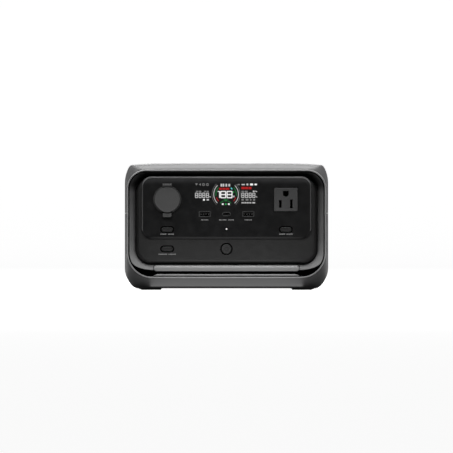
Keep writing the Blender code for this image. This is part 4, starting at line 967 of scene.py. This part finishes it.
def make_ports():
    for name in ("usb_a_shell_left", "usb_a_shell_right", "usb_c_shell"):
        tongue = name.replace("shell", "tongue")
        low, high = span(name)
        x, _, z = centre(name)
        half_x, half_z = (high.x - low.x) / 2, (high.z - low.z) / 2
        is_c = name == "usb_c_shell"
        corner = half_z if is_c else 0.5
        outer = rounded(half_x, half_z, corner, x, z, 10)
        wall = 0.4 if is_c else 0.45
        rings = [(high.y, outer()), (low.y + 0.2, outer()), (low.y, outer(-0.12)),
                 (low.y, outer(-wall + 0.1)), (low.y + 0.3, outer(-wall)), (high.y - 0.8, outer(-wall))]
        dress(solid(f"{name}_can", rings), "dark_steel", replaces=name)
        mouth = rounded(5.1, 2.55, 2.55, x, z, 10) if is_c else rounded(7.0, 3.3, 0.8, x, z, 10)
        gap = rounded(4.1, 1.3, 1.3, x, z, 10) if is_c else rounded(5.65, 2.25, 0.6, x, z, 10)
        lip_y = min(FACE_Y - 0.04, low.y - 0.05)
        ring = [(FACE_Y + 0.6, mouth(-0.05)), (lip_y - 0.2, mouth(-0.05)), (lip_y - 0.3, mouth(-0.15)),
                (lip_y - 0.3, gap(0.12)), (lip_y - 0.2, gap()), (lip_y, gap()), (lip_y, outer(0.06)),
                (FACE_Y + 0.6, outer(0.06))]
        # Painted shade lines the inside of the port's can.
        cup = [(high.y - 0.82, outer(-wall - 0.02)), (low.y + 0.5, outer(-wall - 0.02)),
               (low.y + 0.5, outer(-wall - 0.1)), (high.y - 0.95, outer(-wall - 0.1))]
        dress(solid(f"{name}_shade_liner", cup), "painted_shade")
        dress(solid(f"{name}_rim", ring, closed_rows=True), "rim")
        t_low, t_high = span(tongue)
        blade = block(f"{tongue}_blade", *zip(t_low, t_high), radius=0.18)
        dress(blade, "tongue", replaces=tongue)
        pins = 5 if is_c else 4
        pitch = (t_high.x - t_low.x - 1.6) / (pins - 1)
        pads = [contact_pad(t_low.x + 0.8 + i * pitch, t_low, t_high) for i in range(pins)]
        # USB-C pads take the darker copy, painted shade; USB-A pads the paled one, painted light.
        dress(solid(f"{tongue}_pads", *pads, stand="Z"), "shaded_contact" if is_c else "contact",
              weighted=False)


def contact_pad(x, low, high):
    """One contact on the underside of a tongue."""
    points = [(x - 0.5, low.y + 0.1), (x + 0.5, low.y + 0.1), (x + 0.5, high.y - 0.5),
              (x - 0.5, high.y - 0.5)]
    return [(low.z - 0.7, points), (low.z + 0.02, points)]


# ---- Sides and rear -------------------------------------------------------------------------------
def make_grilles():
    slots, pitch, slot, tall = 13, 8.2, 4.6, 36.0
    for name, side in (("side_grille_left", -1), ("side_grille_right", 1)):
        low, high = span(name)
        outside = side * max(abs(low.x), abs(high.x))
        inside = outside - side * 3.4
        plate = rounded(55.7, 21.7, 3.7, 0.0, 58.0, 8)
        face = solid(f"{name}_plate", rounded_rings(plate, inside, outside, 0.5, 4), stand="X")
        flange_out, flange_in = side * (HALF_WIDTH - WALL - 0.3), side * (HALF_WIDTH - WALL - 1.6)
        wide = rounded(58.0, 24.0, 5.0, 0.0, 58.0, 8)
        combine(face, [prism(wide, flange_in, flange_out, "X")], "UNION")
        cutters = []
        for i in range(slots):
            shape = rounded(slot / 2, tall / 2, slot / 2 - 0.05, (i - (slots - 1) / 2) * pitch, 58.0, 6)
            cutters.append([(side * 100.0, shape()), (outside - side * 0.5, shape()),
                            (outside - side * 0.15, shape(0.15)), (outside, shape(0.5)),
                            (outside + side * 3, shape(0.5))])
        combine(face, [solid("slots", *cutters, stand="X")])
        dress(face, "pod", replaces=name)


def make_rear_panel():
    low, high = span("rear_panel")
    shape = grown(dict(half=HALF_WIDTH - 3.0, low=FLOOR_Z + 3.0, high=TOP_Z - 3.0, bottom=(42.0, 42.0, 42.0),
                       top=(37.0, 37.0, 37.0), crown=CROWN, ease=EASE))
    panel = solid("rear_cover", rounded_rings(shape, low.y, high.y, 0.6, 4))
    deep, clear = 60, 80
    x, _, z = centre("ac_inlet")
    cutters = [cutter_box((x - 13.8, x + 13.8), (deep, clear), (z - 10.2, z + 10.2))]
    x, z = centre("solar_inlet")[0], 50.0
    cutters.append(cutter_box((x - 8.8, x + 8.8), (deep, clear), (z - 5, z + 5)))
    for i in range(4):
        x, _, z = centre(f"case_screw_{i + 1}")
        cutters.append(prism(circle(1.9, x, z, 24), deep, clear))
    for row in range(5):
        for column in range(-5, 6):
            cutters.append(prism(pill(5.0, 2.2, column * 7.0, 78.0 + row * 4.6), high.y - 1.2, clear))
    dress(combine(panel, cutters), "pod", replaces="rear_panel")


def make_handle():
    low, high = span("rear_handle")
    foot_y, bar = low.y, 16.0
    half = high.x
    inner, bar_y = half - bar, high.y - bar

    def loop(grow=0.0):
        outer_r, inner_r = 14.0 + grow, 8.0 - grow
        outer = [(half + grow, foot_y)] + quarter(half - 14.0, high.y - 14.0, outer_r)
        inside = [(inner - grow, foot_y)] + quarter(inner - 8.0, bar_y - 8.0, inner_r)
        return outer + mirrored(outer) + [(-x, y) for x, y in inside] + inside[::-1]

    radius = 4.0
    lower = [(low.z + radius * (1 - sine), loop(-radius * gap)) for sine, gap in quarter_turn(8)][::-1]
    upper = [(high.z - (level - low.z), points) for level, points in lower][::-1]
    handle = solid("carry_handle", lower + upper, stand="Z")
    dress(handle, "shell", replaces="rear_handle", angle=40)

    g_low, g_high = span("handle_grip")
    pad_shape = rounded((g_high.x - g_low.x) / 2, (g_high.z - g_low.z) / 2, 3.0, 0.0,
                        centre("handle_grip")[2])
    pad = solid("grip_pad", rounded_rings(pad_shape, g_high.y, g_low.y, 0.9, 5))
    ribs = [cutter_box((x - 0.7, x + 0.7), (g_low.y - 1, g_low.y + 0.7), (g_low.z + 2.5, g_high.z - 2.5))
            for x in range(-54, 55, 6)]
    dress(combine(pad, ribs), "rubber", replaces="handle_grip")


def quarter(x, y, radius):
    """A quarter circle about (x, y), from +X to +Y."""
    steps = 12
    return [(x + radius * math.cos(math.pi / 2 * i / steps), y + radius * math.sin(math.pi / 2 * i / steps))
            for i in range(steps + 1)]


def make_inlets():
    low, high = span("ac_inlet")
    x, _, z = centre("ac_inlet")
    flange = rounded(15.4, 12.0, 2.0, x, z)
    inlet = solid("mains_inlet", rounded_rings(flange, high.y - 2.0, high.y, 0.5, 5))
    body = rounded(13.5, 9.9, 1.2, x, z)
    combine(inlet, [prism(body, low.y, high.y - 1.5)], "UNION")
    throat = [(x - 12.1, z - 8.2), (x + 12.1, z - 8.2), (x + 12.1, z + 4.0), (x + 7.5, z + 8.2),
              (x - 7.5, z + 8.2), (x - 12.1, z + 4.0)]
    cutters = [solid("cutter", [(58.0, throat), (90.0, throat)])]
    for pin in ("inlet_pin_line", "inlet_pin_neutral", "inlet_pin_earth"):
        p_low, p_high = span(pin)
        cutters.append(cutter_box((p_low.x - 0.3, p_high.x + 0.3), (45, 60), (p_low.z - 0.3, p_high.z + 0.3)))
        blade = block(f"{pin}_blade", *zip(p_low, p_high), radius=0.35)
        dress(blade, "steel", replaces=pin)
    dress(combine(inlet, cutters), "socket", replaces="ac_inlet")

    x = centre("solar_inlet_cover")[0]
    _, pin_y, pin_z = centre("cover_hinge_pin")
    front, back = 76.4, 74.6
    shape = rounded(13.5, 9.05, 2.0, x, 48.55)
    cover = solid("inlet_flap", rounded_rings(shape, back, front, 0.6, 5, 0.2))
    plug = rounded(6.6, 2.6, 0.6, x, 50.0)
    strap = block("strap", (x - 3.6, x + 3.6), (back, front), (56, pin_z), 0.25)
    knuckle = barrel("knuckle", (x - 3.6, x + 3.6), pin_y, pin_z, INLET_BARREL)
    plug_rings = [(73.2, plug(-0.3)), (73.5, plug()), (back + 0.5, plug())]
    combine(cover, [solid("plug", plug_rings), strap, knuckle], "UNION")
    ridges = [cutter_box((x - 8, x + 8), (front - 0.5, front + 1), (z, z + 0.9)) for z in (43.5, 45.5, 47.5)]
    combine(cover, ridges + [prism(circle(PIN_HOLE, pin_y, pin_z, 20), x - 9, x + 9, "X")])
    dress(cover, "rubber", body="inlet_cover", replaces="solar_inlet_cover")


def make_screws():
    for i in range(4):
        name = f"case_screw_{i + 1}"
        low, high = span(name)
        x, _, z = centre(name)
        head = circle(2.9, x, z, 40)
        rings = [(low.y, circle(0.4, x, z, 40)()), (low.y + 2, circle(1.4, x, z, 40)()),
                 (high.y - 1.7, circle(1.4, x, z, 40)()), (high.y - 1.7, head(-0.1)), (high.y - 1.5, head()),
                 (high.y - 0.9, head())]
        turns = [math.radians(degrees) for degrees in (22, 45, 68, 90)]
        rings += [(high.y - 0.9 + 0.9 * math.sin(turn), head(-1.6 * (1 - math.cos(turn)))) for turn in turns]
        screw = solid(f"{name}_body", rings)
        cross = [cutter_box((x - 1.6, x + 1.6), (high.y - 0.9, high.y + 1), (z - 0.32, z + 0.32)),
                 cutter_box((x - 0.32, x + 0.32), (high.y - 0.9, high.y + 1), (z - 1.6, z + 1.6))]
        dress(combine(screw, cross), "steel", replaces=name)


def dress_carried_nodes():
    """The pieces whose CAD shape stays get their finish here."""
    kinds = {"circuit_board": "board", "cell_case": "cell", "heat_sink_metal": "alloy", "steel": "steel",
             "contact_metal": "copper", "display_glass": "glass", "socket_plastic": "ring",
             "panel_grey": "pod", "light_diffuser": "white_light", "amber_plastic": "amber",
             "case_shell": "shell", "bezel_band": "band", "socket_black": "fascia",
             "button_plastic": "button", "soft_rubber": "rubber"}
    # The outlet's contacts take the darker copy: painted shade.
    own = {f"outlet_{wire}_contact": "shaded_contact" for wire in ("line", "neutral", "ground")}
    own["cap_hinge_pin"] = "dark_steel"
    for entry in frame["record"]["subparts"]:
        thing = frame["nodes"][entry["node"]]
        for slot in thing.material_slots:
            slot.material = MATERIALS[own.get(entry["node"], kinds[entry["material_slot"]])]


# ---- Stage ----------------------------------------------------------------------------------------
def make_stage():
    """A white sweep: a floor that turns up into a wall. It is seen, and throws no light on the model."""
    paper = bpy.data.materials.new("paper")
    paper.use_nodes = True
    shader = paper.node_tree.nodes["Principled BSDF"]
    shader.inputs["Base Color"].default_value = (0.80, 0.80, 0.80, 1.0)
    shader.inputs["Roughness"].default_value = 0.9
    shader.inputs["Specular IOR Level"].default_value = 0.0
    shader.inputs["Emission Color"].default_value = (1.0, 1.0, 1.0, 1.0)
    shader.inputs["Emission Strength"].default_value = 0.92
    half, turn, wall_y, wall_z = 6000.0, 800.0, 4000.0, 4000.0
    path = [(-half, 0.0)]
    path += [(wall_y - turn + turn * sine, turn * gap) for sine, gap in quarter_turn(12)]
    path.append((wall_y, wall_z))
    bm = bmesh.new()
    rows = [[bm.verts.new(Vector((x, y, z)) * MM) for x in (-half, half)] for y, z in path]
    for first, second in zip(rows, rows[1:]):
        bm.faces.new((first[0], first[1], second[1], second[0]))
    sweep = bpy.data.objects.new("white_sweep", mesh_from(bm, "white_sweep"))
    bpy.context.scene.collection.objects.link(sweep)
    sweep.data.materials.append(paper)
    sweep.data.shade_smooth()
    sweep.visible_diffuse = False
    sweep.visible_glossy = False


def area_light(name, place, target, size, power):
    lamp = bpy.data.lights.new(name, "AREA")
    lamp.shape = "RECTANGLE"
    lamp.size, lamp.size_y = size
    lamp.energy = power
    thing = bpy.data.objects.new(name, lamp)
    bpy.context.scene.collection.objects.link(thing)
    thing.location = place
    thing.rotation_euler = (Vector(target) - Vector(place)).to_track_quat("-Z", "Y").to_euler()
    return thing


def make_lights():
    world = bpy.data.worlds.new("studio")
    world.use_nodes = True
    background = world.node_tree.nodes["Background"]
    background.inputs["Color"].default_value = (1.0, 1.0, 1.0, 1.0)
    background.inputs["Strength"].default_value = 0.03
    bpy.context.scene.world = world
    area_light("top_softbox", (0.0, 0.05, 1.1), (0.0, 0.0, 0.1), (0.8, 0.9), 14.5)
    area_light("rear_softbox", (0.0, 1.1, 0.75), (0.0, 0.0, 0.1), (0.8, 0.7), 6.0)
    area_light("front_softbox", (0.0, -1.1, 1.25), (0.0, 0.0, 0.07), (1.6, 0.6), 16.0)
    for name, side in (("left", -1), ("right", 1)):
        area_light(f"{name}_softbox", (side * 1.3, -0.6, 0.25), (0.0, 0.0, 0.07), (0.4, 0.6), 4.5)
        area_light(f"{name}_edge_light", (side * 1.1, 0.35, 0.10), (0.0, 0.0, 0.07), (0.3, 0.2), 4.6)
    card = area_light("low_card", (0.0, -0.152, 0.003), (0.0, -0.152, 1.0), (0.175, 0.09), 0.050)
    card.visible_camera = False
    for name, side in (("left", -1), ("right", 1)):
        card = area_light(f"{name}_low_card", (side * 0.19, -0.10, 0.003), (side * 0.19, -0.10, 1.0),
                          (0.08, 0.18), 0.045)
        card.visible_camera = False


def make_camera():
    """A long lens square on to the front, level with the middle of the picture."""
    lens, sensor = 400.0, 36.0
    field = 0.5201                # how much the picture takes in at the object's front, in metres
    camera = bpy.data.cameras.new("camera")
    camera.lens = lens
    camera.sensor_width = sensor
    camera.clip_end = 50.0
    thing = bpy.data.objects.new("camera", camera)
    bpy.context.scene.collection.objects.link(thing)
    distance = field * lens / sensor
    thing.location = (0.0, FRONT_Y * MM - distance, 0.0731)
    thing.rotation_euler = (math.pi / 2, 0.0, 0.0)
    bpy.context.scene.camera = thing


make_camera()
make_case()
make_lip_highlight()
make_feet()
make_band()
make_light()
make_pod()
make_fascia()
make_buttons()
make_labels()
make_display()
make_outlet()
make_car_socket()
make_ports()
make_grilles()
make_rear_panel()
make_handle()
make_inlets()
make_screws()
dress_carried_nodes()
make_stage()
make_lights()
bpy.context.scene.view_settings.view_transform = "Standard"
